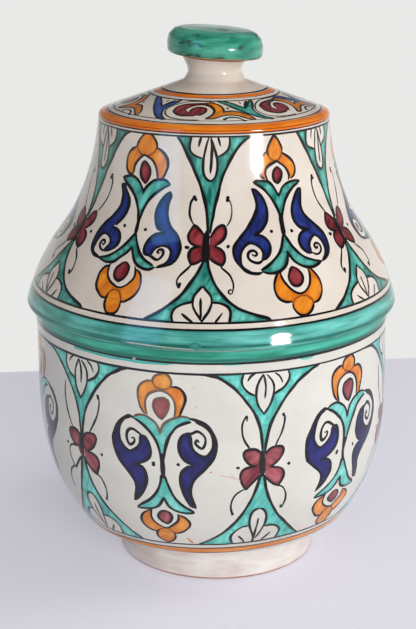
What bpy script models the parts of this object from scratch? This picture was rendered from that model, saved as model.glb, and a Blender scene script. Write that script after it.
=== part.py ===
# Covered jar in glazed earthenware: a thrown bowl on a turned foot, a bell-shaped lid and a knob.
# Metres, +Z up. The origin is on the floor, at the middle of the foot.

import math

import bpy
from mathutils import Vector

# Foot ring, turned from the thick base of the bowl.
FOOT_HEIGHT = 0.0212
FOOT_RADIUS = 0.0640
FOOT_SPREAD = 0.0008
FOOT_RING_WIDTH = 0.0105
FOOT_TAPER = 0.0020
FOOT_EDGE_ROUND = 0.0015
RECESS_DEPTH = 0.0120
RECESS_ROUND = 0.0040
RECESS_DISH = 0.0012

# Bowl, from the edge where it turns under to the foot, up to its rim.
BASE_RADIUS = 0.0861
BASE_RISE = 0.0080
BELLY_RADIUS = 0.1099
BELLY_RISE = 0.0908
BOWL_POWER = 2.8
WAIST_DRAW = 0.0003
WAIST_RISE = 0.0270
RIM_SPREAD = 0.0016
RIM_RISE = 0.0185
RIM_POWER = 2.0
RIM_ROUND = 0.0009
WALL = 0.0070
FLOOR_THICKNESS = 0.0105
FLOOR_CORNER = 0.0100
FLOOR_POWER = 6.0

# Upright collar inside the ledge, which keeps the lid central.
COLLAR_HEIGHT = 0.0100
COLLAR_WALL = 0.0055
COLLAR_CLEARANCE = 0.0022
COLLAR_ROUND = 0.0020
COLLAR_ROOT = 0.0060
COLLAR_BLEND = 0.0120

# Lid: rounded band at its mouth, flared side, sloping top and waisted neck.
SEAT_GAP = 0.0003
LID_OVERHANG = 0.0007
LID_EDGE_ROUND = 0.0006
LID_WALL = 0.0082
BAND_BULGE = 0.0031
BAND_HEIGHT = 0.0118
FLARE_HEIGHT = 0.1024
SHOULDER_RADIUS = 0.0701
SHOULDER_LIP = 0.0032
SHOULDER_ROUND = 0.0030
TOP_SLOPE = 0.367
TOP_THICKNESS = 0.0075
NECK_FOOT_RADIUS = 0.0190
NECK_RADIUS = 0.0163
NECK_TOP_RADIUS = 0.0203
NECK_HEIGHT = 0.0158
NECK_HOLLOW_RADIUS = 0.0080
NECK_HOLLOW_ROUND = 0.0060

# Knob, a rounded cap whose shallow socket sits over the top of the neck.
KNOB_RADIUS = 0.0291
KNOB_HEIGHT = 0.0180
KNOB_CROWN = 0.0010
KNOB_ROUND = 0.0085
KNOB_EDGE_ROUND = 0.0024
KNOB_TAPER = 0.0006
SOCKET_DEPTH = 0.0015
SOCKET_GAP = 0.0003

# Outlines as shares: first of the height, then of the change in radius.
BAND_SHARES = ((1.0, 0.0), (0.60, 0.72), (0.33, 1.0), (0.14, 0.74), (0.0, 0.0))
FLARE_SHARES = (
    (1.0, 0.0), (0.80, 0.075), (0.585, 0.23), (0.41, 0.44), (0.27, 0.675), (0.10, 0.905), (0.0, 1.0),
)
NECK_SHARES = ((1.0, 1.0), (0.78, 0.62), (0.52, 0.14), (0.27, 0.0))

# Fineness of the outlines and of the turned surfaces.
JAR_STEPS = 52
KNOB_STEPS = 44
BOWL_POINTS = 7
FLOOR_POINTS = 5
RIM_POINTS = 3
ARC_STEPS = 3
CURVE_STEPS = 2
SHARP_ANGLE = math.radians(40)
MERGE_DISTANCE = 0.00001

# Heights of the joints between stretches, worked out from the floor up.
base_height = FOOT_HEIGHT + BASE_RISE
belly_height = base_height + BELLY_RISE
waist_height = belly_height + WAIST_RISE
rim_height = waist_height + RIM_RISE
seat_height = rim_height + SEAT_GAP
band_top = seat_height + BAND_HEIGHT
shoulder_height = band_top + FLARE_HEIGHT
top_edge = shoulder_height + SHOULDER_LIP
neck_foot = top_edge + TOP_SLOPE * (SHOULDER_RADIUS - NECK_FOOT_RADIUS)
neck_top = neck_foot + NECK_HEIGHT
knob_base = neck_top + SOCKET_GAP - SOCKET_DEPTH

# Radii that one piece takes from its neighbour.
rim_radius = BELLY_RADIUS - WAIST_DRAW + RIM_SPREAD
lid_edge_radius = rim_radius + LID_OVERHANG
lid_bore_radius = lid_edge_radius - LID_WALL
collar_radius = lid_bore_radius - COLLAR_CLEARANCE
collar_bore_radius = collar_radius - COLLAR_WALL
socket_radius = NECK_TOP_RADIUS + SOCKET_GAP


def smooth(points):
    """Catmull-Rom curve through the points, each a (radius, height) pair."""
    path = [Vector(point) for point in points]
    path = [2 * path[0] - path[1]] + path + [2 * path[-1] - path[-2]]
    curve = []
    for a, b, c, d in zip(path, path[1:], path[2:], path[3:]):
        for step in range(CURVE_STEPS):
            t = step / CURVE_STEPS
            bend = (2 * a - 5 * b + 4 * c - d) * t ** 2 + (3 * b - a - 3 * c + d) * t ** 3
            curve.append(b + 0.5 * ((c - a) * t + bend))
    return curve + [path[-2]]


def rounded(before, corner, after, radius):
    """Arc that rounds a corner between two neighbours, no longer than either side allows."""
    before, corner, after = Vector(before), Vector(corner), Vector(after)
    back, ahead = (before - corner), (after - corner)
    half = back.angle(ahead) / 2
    reach = min(radius / math.tan(half), back.length / 2, ahead.length / 2)
    start = corner + back.normalized() * reach
    end = corner + ahead.normalized() * reach
    arc = []
    for step in range(ARC_STEPS + 1):
        t = step / ARC_STEPS
        weight = 2 * t * (1 - t) * math.sin(half)
        total = (1 - t) ** 2 + weight + t ** 2
        arc.append(((1 - t) ** 2 * start + weight * corner + t ** 2 * end) / total)
    return arc


def bowl_outside():
    """Outer side of the bowl from the belly down to where it turns under."""
    points = []
    for step in range(BOWL_POINTS + 1):
        share = step / BOWL_POINTS
        radius = BELLY_RADIUS - (BELLY_RADIUS - BASE_RADIUS) * share ** BOWL_POWER
        points.append((radius, belly_height - BELLY_RISE * share))
    return points


def rim_flare():
    """Outer side of the bowl between the middle of its rim flare and the waist, going down."""
    points = []
    for step in reversed(range(RIM_POINTS)):
        share = step / RIM_POINTS
        radius = BELLY_RADIUS - WAIST_DRAW + RIM_SPREAD * share ** RIM_POWER
        points.append((radius, waist_height + RIM_RISE * share))
    return points


def bowl_inside():
    """Inner side of the bowl, from the middle of its floor up to the belly."""
    floor = RECESS_DEPTH + RECESS_DISH + FLOOR_THICKNESS
    corner_radius = BASE_RADIUS - FLOOR_CORNER
    corner_height = base_height + FLOOR_CORNER
    belly_inside = BELLY_RADIUS - WALL
    points = []
    for step in range(FLOOR_POINTS):
        share = math.sin(math.pi / 2 * step / FLOOR_POINTS)
        points.append((corner_radius * share, floor + (corner_height - floor) * share ** FLOOR_POWER))
    for step in range(BOWL_POINTS + 1):
        share = 1 - step / BOWL_POINTS
        radius = belly_inside - (belly_inside - corner_radius) * share ** BOWL_POWER
        points.append((radius, belly_height - (belly_height - corner_height) * share))
    return points


def foot_outline():
    """Foot ring from its outer top, round its resting face, to the middle of the recess."""
    top = (FOOT_RADIUS, FOOT_HEIGHT)
    outer = (FOOT_RADIUS + FOOT_SPREAD, 0)
    inner = (FOOT_RADIUS - FOOT_RING_WIDTH, 0)
    roof = (FOOT_RADIUS - FOOT_RING_WIDTH - FOOT_TAPER, RECESS_DEPTH)
    middle = (0, RECESS_DEPTH + RECESS_DISH)
    outline = [top]
    outline += rounded(top, outer, inner, FOOT_EDGE_ROUND)
    outline += rounded(outer, inner, roof, FOOT_EDGE_ROUND)
    outline += rounded(inner, roof, middle, RECESS_ROUND)
    return outline + [middle]


def jar_outline():
    """Inside of the bowl, collar, ledge, outside of the bowl and foot, in that order."""
    collar_top = rim_height + COLLAR_HEIGHT
    root = (collar_bore_radius, rim_height - COLLAR_ROOT)
    bore_top = (collar_bore_radius, collar_top)
    outer_top = (collar_radius, collar_top)
    ledge = (collar_radius, rim_height)
    rim = (rim_radius, rim_height)
    flare = rim_flare()
    neck_in = (BELLY_RADIUS - WALL, root[1] - COLLAR_BLEND)
    outline = bowl_inside()
    outline += rounded(outline[-1], neck_in, root, COLLAR_BLEND)
    outline += rounded(neck_in, root, bore_top, COLLAR_BLEND)
    outline += rounded(root, bore_top, outer_top, COLLAR_ROUND)
    outline += rounded(bore_top, outer_top, ledge, COLLAR_ROUND)
    outline.append(ledge)
    outline += rounded(ledge, rim, flare[0], RIM_ROUND)
    outline += flare
    outline += bowl_outside()
    return outline + foot_outline()


def lid_side():
    """Outer side of the lid, from the shoulder down to the edge of its mouth."""
    points = []
    for height, spread in FLARE_SHARES:
        radius = SHOULDER_RADIUS + (lid_edge_radius - SHOULDER_RADIUS) * spread
        points.append((radius, band_top + FLARE_HEIGHT * height))
    for height, bulge in BAND_SHARES[1:]:
        points.append((lid_edge_radius + BAND_BULGE * bulge, seat_height + BAND_HEIGHT * height))
    return smooth(points)


def lid_outline():
    """Neck, sloping top and side down to the seat, then the inside of the bell back up."""
    neck = []
    for height, spread in NECK_SHARES:
        radius = NECK_RADIUS + (NECK_TOP_RADIUS - NECK_RADIUS) * spread
        neck.append((radius, neck_foot + NECK_HEIGHT * height))
    neck.append((NECK_FOOT_RADIUS, neck_foot))
    side = lid_side()
    shoulder = (SHOULDER_RADIUS, top_edge)
    edge = side[-1]
    bore = (lid_bore_radius, seat_height)
    bore_top = (lid_bore_radius, band_top)
    roof = (SHOULDER_RADIUS - LID_WALL, top_edge - TOP_THICKNESS)
    bell = [point for point in reversed(side[::CURVE_STEPS]) if band_top < point.y < roof[1] - SHOULDER_ROUND]
    inside = [bore_top] + [point - Vector((LID_WALL, 0)) for point in bell]
    hollow_rise = TOP_SLOPE * (SHOULDER_RADIUS - LID_WALL - NECK_HOLLOW_RADIUS)
    hollow = (NECK_HOLLOW_RADIUS, roof[1] + hollow_rise)
    hollow_top = (NECK_HOLLOW_RADIUS, neck_foot + NECK_HEIGHT / 2)
    outline = [(0, neck_top)] + smooth(neck)
    outline += rounded(neck[-1], shoulder, side[0], SHOULDER_ROUND)
    outline += side[:-1]
    outline += rounded(side[-2], edge, bore, LID_EDGE_ROUND)
    outline += rounded(edge, bore, inside[0], LID_EDGE_ROUND)
    outline += inside
    outline += rounded(inside[-1], roof, hollow, SHOULDER_ROUND)
    outline += rounded(roof, hollow, hollow_top, NECK_HOLLOW_ROUND)
    return outline + [hollow_top, (0, hollow_top[1])]


def knob_outline():
    """Crown, rounded side, lower edge and the socket under it."""
    crown = (0, knob_base + KNOB_HEIGHT)
    shoulder = (KNOB_RADIUS, knob_base + KNOB_HEIGHT - KNOB_CROWN)
    edge = (KNOB_RADIUS - KNOB_TAPER, knob_base)
    mouth = (socket_radius, knob_base)
    roof = knob_base + SOCKET_DEPTH
    outline = [crown]
    outline += rounded(crown, shoulder, edge, KNOB_ROUND)
    outline += rounded(shoulder, edge, mouth, KNOB_EDGE_ROUND)
    return outline + [mouth, (socket_radius, roof), (0, roof)]


def glaze(name, color, roughness):
    """Glossy glaze over clay, in one plain colour."""
    material = bpy.data.materials.new(name)
    material.use_nodes = True
    shader = material.node_tree.nodes["Principled BSDF"]
    shader.inputs["Base Color"].default_value = (*color, 1)
    shader.inputs["Roughness"].default_value = roughness
    shader.inputs["Metallic"].default_value = 0
    return material


def turned(name, outline, steps, material, collection):
    """Turns an outline round the Z axis into one closed, smooth-shaded body."""
    profile = bpy.data.meshes.new(name + "_outline")
    corners = [(radius, 0, height) for radius, height in outline]
    profile.from_pydata(corners, [(i, i + 1) for i in range(len(corners) - 1)], [])
    piece = bpy.data.objects.new(name, profile)
    collection.objects.link(piece)
    screw = piece.modifiers.new("Turn", "SCREW")
    screw.angle = 2 * math.pi
    screw.steps = steps
    screw.render_steps = steps
    screw.use_merge_vertices = True
    screw.merge_threshold = MERGE_DISTANCE
    scene_state = bpy.context.evaluated_depsgraph_get()
    mesh = bpy.data.meshes.new_from_object(piece.evaluated_get(scene_state))
    piece.modifiers.remove(screw)
    piece.data = mesh
    bpy.data.meshes.remove(profile)
    mesh.name = name
    mesh.materials.append(material)
    mesh.shade_smooth()
    mesh.set_sharp_from_angle(angle=SHARP_ANGLE)
    return piece


def main():
    for old in list(bpy.data.objects):
        bpy.data.objects.remove(old)
    collection = bpy.data.collections.new("covered_jar")
    bpy.context.scene.collection.children.link(collection)
    jar_glaze = glaze("jar_glaze", (0.72, 0.70, 0.66), 0.18)
    lid_glaze = glaze("lid_glaze", (0.74, 0.68, 0.63), 0.18)
    knob_glaze = glaze("knob_glaze", (0.05, 0.36, 0.25), 0.22)
    turned("jar_body", jar_outline(), JAR_STEPS, jar_glaze, collection)
    turned("lid", lid_outline(), JAR_STEPS, lid_glaze, collection)
    turned("knob", knob_outline(), KNOB_STEPS, knob_glaze, collection)


main()
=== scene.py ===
import math
import bpy
import numpy as np
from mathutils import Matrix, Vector
from mathutils.geometry import delaunay_2d_cdt
from mathutils.kdtree import KDTree


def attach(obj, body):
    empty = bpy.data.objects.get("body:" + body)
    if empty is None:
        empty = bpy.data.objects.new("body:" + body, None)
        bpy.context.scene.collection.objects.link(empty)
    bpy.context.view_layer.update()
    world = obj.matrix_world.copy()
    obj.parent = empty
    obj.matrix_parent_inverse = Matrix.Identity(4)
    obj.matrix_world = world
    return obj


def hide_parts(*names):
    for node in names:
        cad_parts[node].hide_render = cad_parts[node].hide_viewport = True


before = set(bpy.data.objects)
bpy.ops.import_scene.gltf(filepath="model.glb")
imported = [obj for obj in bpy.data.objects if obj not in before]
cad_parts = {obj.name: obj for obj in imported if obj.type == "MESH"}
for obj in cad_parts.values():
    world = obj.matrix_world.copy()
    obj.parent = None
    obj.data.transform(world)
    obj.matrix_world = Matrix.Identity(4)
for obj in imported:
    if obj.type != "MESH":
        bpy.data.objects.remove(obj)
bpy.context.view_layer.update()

mm = 0.001
fullTurn = 2 * math.pi

# sRGB, 0 to 255: where the glaze lies deep, and where it is thin
glazeColours = {
    "lidGround": ((217, 205, 193), (231, 221, 210)),
    "jarGround": ((222, 219, 210), (233, 231, 223)),
    "rimGreen": ((24, 122, 110), (116, 208, 198)),
    # On the lid's green band the darker green paints shade and the paler green after it paints a highlight; the darker
    # green is also a ring on the jar's rim and a smudge
    "rimGreenDark": ((16, 98, 86), (80, 168, 154)),
    "rimGreenHighlight": ((96, 170, 158), (146, 204, 192)),
    "rimGreenJar": ((20, 140, 114), (82, 204, 178)),
    "teal": ((6, 100, 88), (112, 206, 194)),
    "tealJar": ((56, 166, 156), (140, 240, 228)),
    "tealPale": ((70, 182, 172), (156, 234, 226)),
    "orange": ((200, 98, 10), (242, 156, 42)),
    "orangeBand": ((222, 106, 2), (252, 146, 22)),
    "orangeJar": ((212, 112, 24), (250, 168, 76)),
    "orangeWorn": ((220, 132, 50), (246, 168, 84)),
    "orangeLine": ((104, 50, 18), (160, 86, 30)),
    "maroon": ((90, 6, 20), (164, 66, 72)),
    "maroonJar": ((112, 32, 46), (190, 102, 108)),
    "maroonWorn": ((130, 62, 66), (178, 108, 106)),
    "cobalt": ((12, 14, 64), (40, 60, 140)),
    "cobaltJar": ((8, 6, 62), (36, 38, 122)),
    "cobaltPale": ((30, 52, 132), (66, 100, 172)),
    "ink": ((7, 5, 6), (22, 16, 15)),
    "inkThin": ((44, 36, 32), (84, 72, 64)),
    "inkWorn": ((88, 68, 54), (138, 114, 96)),
    "worn": ((176, 166, 140), (204, 196, 176)),
    "blush": ((216, 184, 172), (224, 204, 194)),
    "foot": ((224, 209, 202), (241, 238, 231)),
    "clay": ((178, 118, 96), (208, 154, 130)),
    "inside": ((206, 196, 186), (220, 212, 204)),
}


def linearColour(rgb):
    return [((c / 255 + 0.055) / 1.055) ** 2.4 for c in rgb]


# The section of each solid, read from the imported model

outlineRules = {
    "cornerAngle": math.radians(24),    # sharper turns than this are kept as corners
    "cornerEase": 0.35,                 # mm eased off each corner
    "sampleStep": 0.8,                  # mm between samples
    "sampleBend": math.radians(7),      # bend between samples
    "longNeighbour": 2.5,               # a straight this much longer sets the direction
}


def readSection(node):
    # Chains the mesh edges that lie on the half plane y = 0, x > 0, from the higher end round to the lower
    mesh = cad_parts[node].data
    spots = [tuple(round(c / mm, 2) for c in v.co) for v in mesh.vertices]
    links = {}
    for face in mesh.polygons:
        ring = [spots[i] for i in face.vertices]
        for a, b in zip(ring, ring[1:] + ring[:1]):
            if a != b and abs(a[1]) < 0.005 and abs(b[1]) < 0.005 and min(a[0], b[0]) >= 0:
                links.setdefault((a[0], a[2]), set()).add((b[0], b[2]))
                links.setdefault((b[0], b[2]), set()).add((a[0], a[2]))
    ends = sorted((k for k, v in links.items() if len(v) == 1), key=lambda k: k[1])
    path = [ends[-1]]
    while True:
        onward = [k for k in links[path[-1]] if k not in path[-2:]]
        if not onward:
            break
        path.append(onward[0])
    if path[0][0] > 0.01:
        path.insert(0, (0.0, path[0][1]))
    if path[-1][0] > 0.01:
        path.append((0.0, path[-1][1]))
    return np.array(path)


class Outline:
    # A smooth line through the section: radius and height along its length, all in millimetres
    def __init__(self, node, lip=None):
        path = readSection(node)
        if lip:         # the run of points outside the first point's radius and below its height is drawn anew
            (r, z), *fresh = lip
            run = np.flatnonzero((path[:, 0] > r) & (path[:, 1] < z))
            path = np.vstack([path[:run[0]], fresh, path[run[-1] + 1:]])
        spots, ways = self.easeCorners(path)
        samples, headings = [spots[0]], [ways[0]]
        for a, b, da, db in zip(spots, spots[1:], ways, ways[1:]):
            span = np.linalg.norm(b - a)
            bend = abs(math.atan2(da[0] * db[1] - da[1] * db[0], da @ db))
            count = max(math.ceil(span / outlineRules["sampleStep"]), math.ceil(bend / outlineRules["sampleBend"]), 1)
            for k in range(1, count + 1):
                u = k / count
                samples.append((2 * u ** 3 - 3 * u ** 2 + 1) * a + (u ** 3 - 2 * u ** 2 + u) * span * da
                               + (3 * u ** 2 - 2 * u ** 3) * b + (u ** 3 - u ** 2) * span * db)
                way = ((6 * u ** 2 - 6 * u) * (a - b) / span + (3 * u ** 2 - 4 * u + 1) * da
                       + (3 * u ** 2 - 2 * u) * db)
                headings.append(way / np.linalg.norm(way))
        line = np.array(samples)
        self.r = np.clip(line[:, 0], 0, path[:, 0].max())
        self.z = np.clip(line[:, 1], path[:, 1].min(), path[:, 1].max())
        self.heading = np.array(headings)
        self.s = np.concatenate([[0], np.cumsum(np.hypot(np.diff(self.r), np.diff(self.z)))])

    def easeCorners(self, path):
        steps = np.diff(path, axis=0)
        spans = np.hypot(steps[:, 0], steps[:, 1])
        ways = steps / spans[:, None]
        spots, found = [path[0]], [np.array([1.0, 0.0])]
        for k in range(1, len(path) - 1):
            d0, d1, l0, l1 = ways[k - 1], ways[k], spans[k - 1], spans[k]
            bend = abs(math.atan2(d0[0] * d1[1] - d0[1] * d1[0], d0 @ d1))
            if bend > outlineRules["cornerAngle"]:
                spots += [path[k] - d0 * min(outlineRules["cornerEase"], 0.4 * l0),
                          path[k] + d1 * min(outlineRules["cornerEase"], 0.4 * l1)]
                found += [d0, d1]
                continue
            if l0 > outlineRules["longNeighbour"] * l1:
                way = d0
            elif l1 > outlineRules["longNeighbour"] * l0:
                way = d1
            else:
                way = d0 * l1 + d1 * l0
            spots.append(path[k])
            found.append(way / np.linalg.norm(way))
        return spots + [path[-1]], found + [np.array([-1.0, 0.0])]

    def bend(self, inward, upward, outside, low, high):
        # Moves the part of the section outside a radius: all of it below one height, none above the other
        share = np.clip((high - self.z) / (high - low), 0, 1) * np.clip(self.r - outside, 0, 1)
        self.r, self.z = self.r - inward * share, self.z + upward * share
        self.s = np.concatenate([[0], np.cumsum(np.hypot(np.diff(self.r), np.diff(self.z)))])

    def place(self, s):
        return np.interp(s, self.s, self.r), np.interp(s, self.s, self.z)

    def outward(self, s):
        # The section is followed clockwise, so outside lies to the left
        across = np.interp(s, self.s, -self.heading[:, 1])
        up = np.interp(s, self.s, self.heading[:, 0])
        size = np.hypot(across, up)
        return across / size, up / size

    def nearest(self, r, z):
        return self.s[np.argmin(np.hypot(self.r - r, self.z - z))]

    def rows(self, start, end, widest, bend=math.radians(9)):
        marks, turned = [start], np.unwrap(np.arctan2(self.heading[:, 1], self.heading[:, 0]))
        last = np.interp(start, self.s, turned)
        for s, way in zip(self.s, turned):
            if start + 0.15 < s < end - 0.15 and (s - marks[-1] >= widest or abs(way - last) >= bend):
                marks.append(float(s))
                last = way
        return marks + [end]


# Brushwork: every stroke is a polygon on the flat map of the surface

flatRadius = 90.0               # mm; the flat map is angle times this, against length up the outline
seamAt = math.pi * flatRadius   # the map is cut at the back
columns = 240                   # plain columns round a form
ringReach = 60.0                # mm; how far a streak of a ring is drawn out: more gives shorter streaks
seedStep = 3.7                  # apart in the noise, so that no two strokes streak alike
lineWash = 0.6                  # how streaky a line is, where a wash has 1
roundEnd = (0.6, 1.2, 1.95, 2.55)       # radians; the points round a stroke's end
coneSpan = (127.0, 183.5)       # the lid's shoulder, as lengths up its outside


def trail(text):
    # "x,t x,t ..." in millimetres; a "!" after a point makes it a corner
    spots = text.split()
    return (np.array([[float(c) for c in p.strip("!").split(",")] for p in spots]),
            [k for k, p in enumerate(spots) if p.endswith("!")])


def smoothTrail(text, step=1.1):
    spots, corners = trail(text)
    cuts = [0] + [k for k in corners if 0 < k < len(spots) - 1] + [len(spots) - 1]
    run = [spots[0]]
    for first, last in zip(cuts, cuts[1:]):
        part = spots[first:last + 1]
        if len(part) < 2:
            continue
        part = np.vstack([2 * part[0] - part[1], part, 2 * part[-1] - part[-2]])
        for a, b, c, d in zip(part, part[1:], part[2:], part[3:]):
            count = max(1, round(np.linalg.norm(c - b) / step))
            for k in range(1, count + 1):
                u = k / count
                run.append(b + 0.5 * ((c - a) * u + (2 * a - 5 * b + 4 * c - d) * u * u
                                      + (3 * b - a - 3 * c + d) * u ** 3))
    return np.array(run)


def brushStroke(path, width, ends, rng):
    # One stroke of the liner brush: it swells and thins a little, and its ends are round
    steps = np.diff(path, axis=0)
    spans = np.hypot(steps[:, 0], steps[:, 1])
    length = np.concatenate([[0], np.cumsum(spans)])
    ways = np.gradient(path, axis=0)
    ways /= np.maximum(np.hypot(ways[:, 0], ways[:, 1]), 1e-6)[:, None]
    sides = np.stack([-ways[:, 1], ways[:, 0]], 1)
    total = length[-1]
    swell = 1 + 0.13 * np.sin(length / rng.uniform(3, 6) + rng.uniform(0, 6)) \
        + 0.09 * np.sin(length / rng.uniform(1.3, 2.4) + rng.uniform(0, 6))
    near = min(2.5, 0.4 * total)
    start = ends[0] + (1 - ends[0]) * np.clip(length / near, 0, 1) ** 0.6
    stop = ends[1] + (1 - ends[1]) * np.clip((total - length) / near, 0, 1) ** 0.6
    half = (width / 2 * swell * start * stop)[:, None]
    tail = [path[-1] + half[-1] * (sides[-1] * math.cos(a) + ways[-1] * math.sin(a)) for a in roundEnd]
    nose = [path[0] + half[0] * (-sides[0] * math.cos(a) - ways[0] * math.sin(a)) for a in roundEnd]
    return np.vstack([path + half * sides, tail, (path - half * sides)[::-1], nose])


class Painting:
    # Shapes on one form, the last on top
    def __init__(self, outline, reference):
        self.outline, self.reference = outline, reference
        self.shapes = []
        self.ownSeed = 0

    def radiusAt(self, t):
        return self.outline.place(self.reference - t)[0]

    def heightToLength(self, radius, low, high):
        # On the cone a place is known by its radius
        t = np.linspace(high, low, 400)
        return np.interp(radius, self.radiusAt(t), t)

    def add(self, flat, colour, flow, wash, tint=0.0):
        middle = round((flat[:, 0].min() + flat[:, 0].max()) / 2 / (2 * seamAt)) * 2 * seamAt
        flat = flat - [middle, 0]
        self.ownSeed += 1
        for shift in (0, -2 * seamAt, 2 * seamAt):
            moved = flat + [shift, 0]
            if moved[:, 0].max() <= -seamAt or moved[:, 0].min() >= seamAt:
                continue
            if moved[:, 0].min() < -seamAt:
                moved = cutAt(moved, -seamAt, 1)
            if moved[:, 0].max() > seamAt:
                moved = cutAt(moved, seamAt, -1)
            self.shapes.append({"flat": moved, "colour": colour, "flow": flow, "wash": wash,
                                "tint": tint, "seed": self.ownSeed})

    def ring(self, low, high, colour, wobble=0.25, tilt=0.0, seed=0):
        # A band brushed while the pot turns on the wheel, a little uneven
        rng = np.random.default_rng(seed + 100)
        angle = np.linspace(-math.pi, math.pi, columns + 1)
        edges = []
        for level in (low, high):
            t = level + tilt * np.sin(angle)
            for n in (2, 3, 5, 9, 14):
                t = t + wobble / n ** 0.5 * 0.5 * np.sin(n * angle + rng.uniform(0, 6))
            edges.append(t)
        flat = np.vstack([np.stack([angle * flatRadius, edges[0]], 1),
                          np.stack([angle * flatRadius, edges[1]], 1)[::-1]])
        self.ownSeed += 1
        self.shapes.append({"flat": flat, "colour": colour, "flow": None, "wash": 1.0,
                            "tint": 0.0, "seed": self.ownSeed, "edges": edges})


def cutAt(polygon, x, side):
    # Keeps the part of a polygon on one side of the cut at the back
    kept = []
    for a, b in zip(polygon, np.roll(polygon, -1, axis=0)):
        aIn, bIn = side * (a[0] - x) >= 0, side * (b[0] - x) >= 0
        if aIn:
            kept.append(a)
        if aIn != bIn:
            u = (x - a[0]) / (b[0] - a[0])
            kept.append(np.array([x, a[1] + u * (b[1] - a[1])]))
    return np.array(kept)


def insideShape(shape, points):
    flat = shape["flat"]
    if "edges" in shape:
        x = np.linspace(-seamAt, seamAt, columns + 1)
        return (points[:, 1] > np.interp(points[:, 0], x, shape["edges"][0])) \
            & (points[:, 1] < np.interp(points[:, 0], x, shape["edges"][1]))
    a, b = flat, np.roll(flat, -1, axis=0)
    px, py = points[:, 0][:, None], points[:, 1][:, None]
    side = (b[:, 0] - a[:, 0]) * (py - a[:, 1]) - (px - a[:, 0]) * (b[:, 1] - a[:, 1])
    up = (a[:, 1] <= py) & (b[:, 1] > py) & (side > 0)
    down = (a[:, 1] > py) & (b[:, 1] <= py) & (side < 0)
    return (up.sum(1) - down.sum(1)) != 0


def paintedBand(painting, low, high):
    # One triangulation that keeps every edge of every stroke, then the topmost stroke of each triangle
    outline, shapes = painting.outline, painting.shapes
    points, edges = [], []
    for shape in shapes:
        flat = shape["flat"]
        base = len(points)
        points += [tuple(p) for p in flat]
        count = len(flat)
        if "edges" in shape:
            half = count // 2
            edges += [(base + k, base + k + 1) for k in range(half - 1)]
            edges += [(base + half + k, base + half + k + 1) for k in range(half - 1)]
        else:
            edges += [(base + k, base + (k + 1) % count) for k in range(count)]
    tree = KDTree(max(1, len(points)))
    for k, p in enumerate(points):
        tree.insert((p[0], p[1], 0), k)
    tree.balance()
    rows = outline.rows(painting.reference - high, painting.reference - low, 2.4)
    across = np.linspace(-seamAt, seamAt, columns + 1)
    for s in rows:
        edgeRow = s in (rows[0], rows[-1])
        for x in across:
            spot = (float(x), painting.reference - s)
            onCut = abs(abs(x) - seamAt) < 1e-6
            if edgeRow or tree.find((spot[0], spot[1], 0))[2] > (0.05 if onCut else 0.5):
                points.append(spot)
    made = delaunay_2d_cdt([Vector(p) for p in points], edges, [], 0, 1e-4)
    spots = np.array([p[:] for p in made[0]])
    onCut = abs(abs(spots[:, 0]) - seamAt) < 2e-4
    spots[onCut, 0] = np.sign(spots[onCut, 0]) * seamAt
    faces = np.array([f[:] for f in made[2]])
    a, b, c = spots[faces[:, 0]], spots[faces[:, 1]], spots[faces[:, 2]]
    area = (b[:, 0] - a[:, 0]) * (c[:, 1] - a[:, 1]) - (c[:, 0] - a[:, 0]) * (b[:, 1] - a[:, 1])
    faces[area < -1e-7] = faces[area < -1e-7][:, ::-1]      # faces of no width stay, because they close the sheet
    centres = spots[faces].mean(1)
    top = np.full(len(faces), -1)
    for k, shape in enumerate(shapes):
        lowEnd, highEnd = shape["flat"].min(0), shape["flat"].max(0)
        near = np.flatnonzero((centres[:, 0] > lowEnd[0]) & (centres[:, 0] < highEnd[0])
                              & (centres[:, 1] > lowEnd[1]) & (centres[:, 1] < highEnd[1]))
        if len(near):
            top[near[insideShape(shape, centres[near])]] = k
    # Distance of each point from the nearest edge of a stroke, on the real surface
    r, z = outline.place(painting.reference - spots[:, 1])
    angle = spots[:, 0] / flatRadius
    solid = np.stack([r * np.sin(angle), -r * np.cos(angle), z], 1)
    drawn = np.zeros(len(spots), bool)
    pair = np.sort(np.vstack([faces[:, [0, 1]], faces[:, [1, 2]], faces[:, [2, 0]]]), 1)
    owner = np.concatenate([top, top, top])
    order = np.lexsort((pair[:, 1], pair[:, 0]))
    pair, owner = pair[order], owner[order]
    same = (pair[1:] == pair[:-1]).all(1) & (owner[1:] != owner[:-1])
    drawn[pair[1:][same].ravel()] = True
    tree = KDTree(max(1, int(drawn.sum())))
    for k in np.flatnonzero(drawn):
        tree.insert(solid[k], int(k))
    tree.balance()
    rim = np.array([0.0 if d else min(9.0, tree.find(p)[2] or 9.0) for d, p in zip(drawn, solid)]) \
        if drawn.any() else np.full(len(spots), 9.0)
    return spots, faces, top, rim


# The ornament, as trails of points read one by one: x and t in millimetres on the unrolled surface

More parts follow.
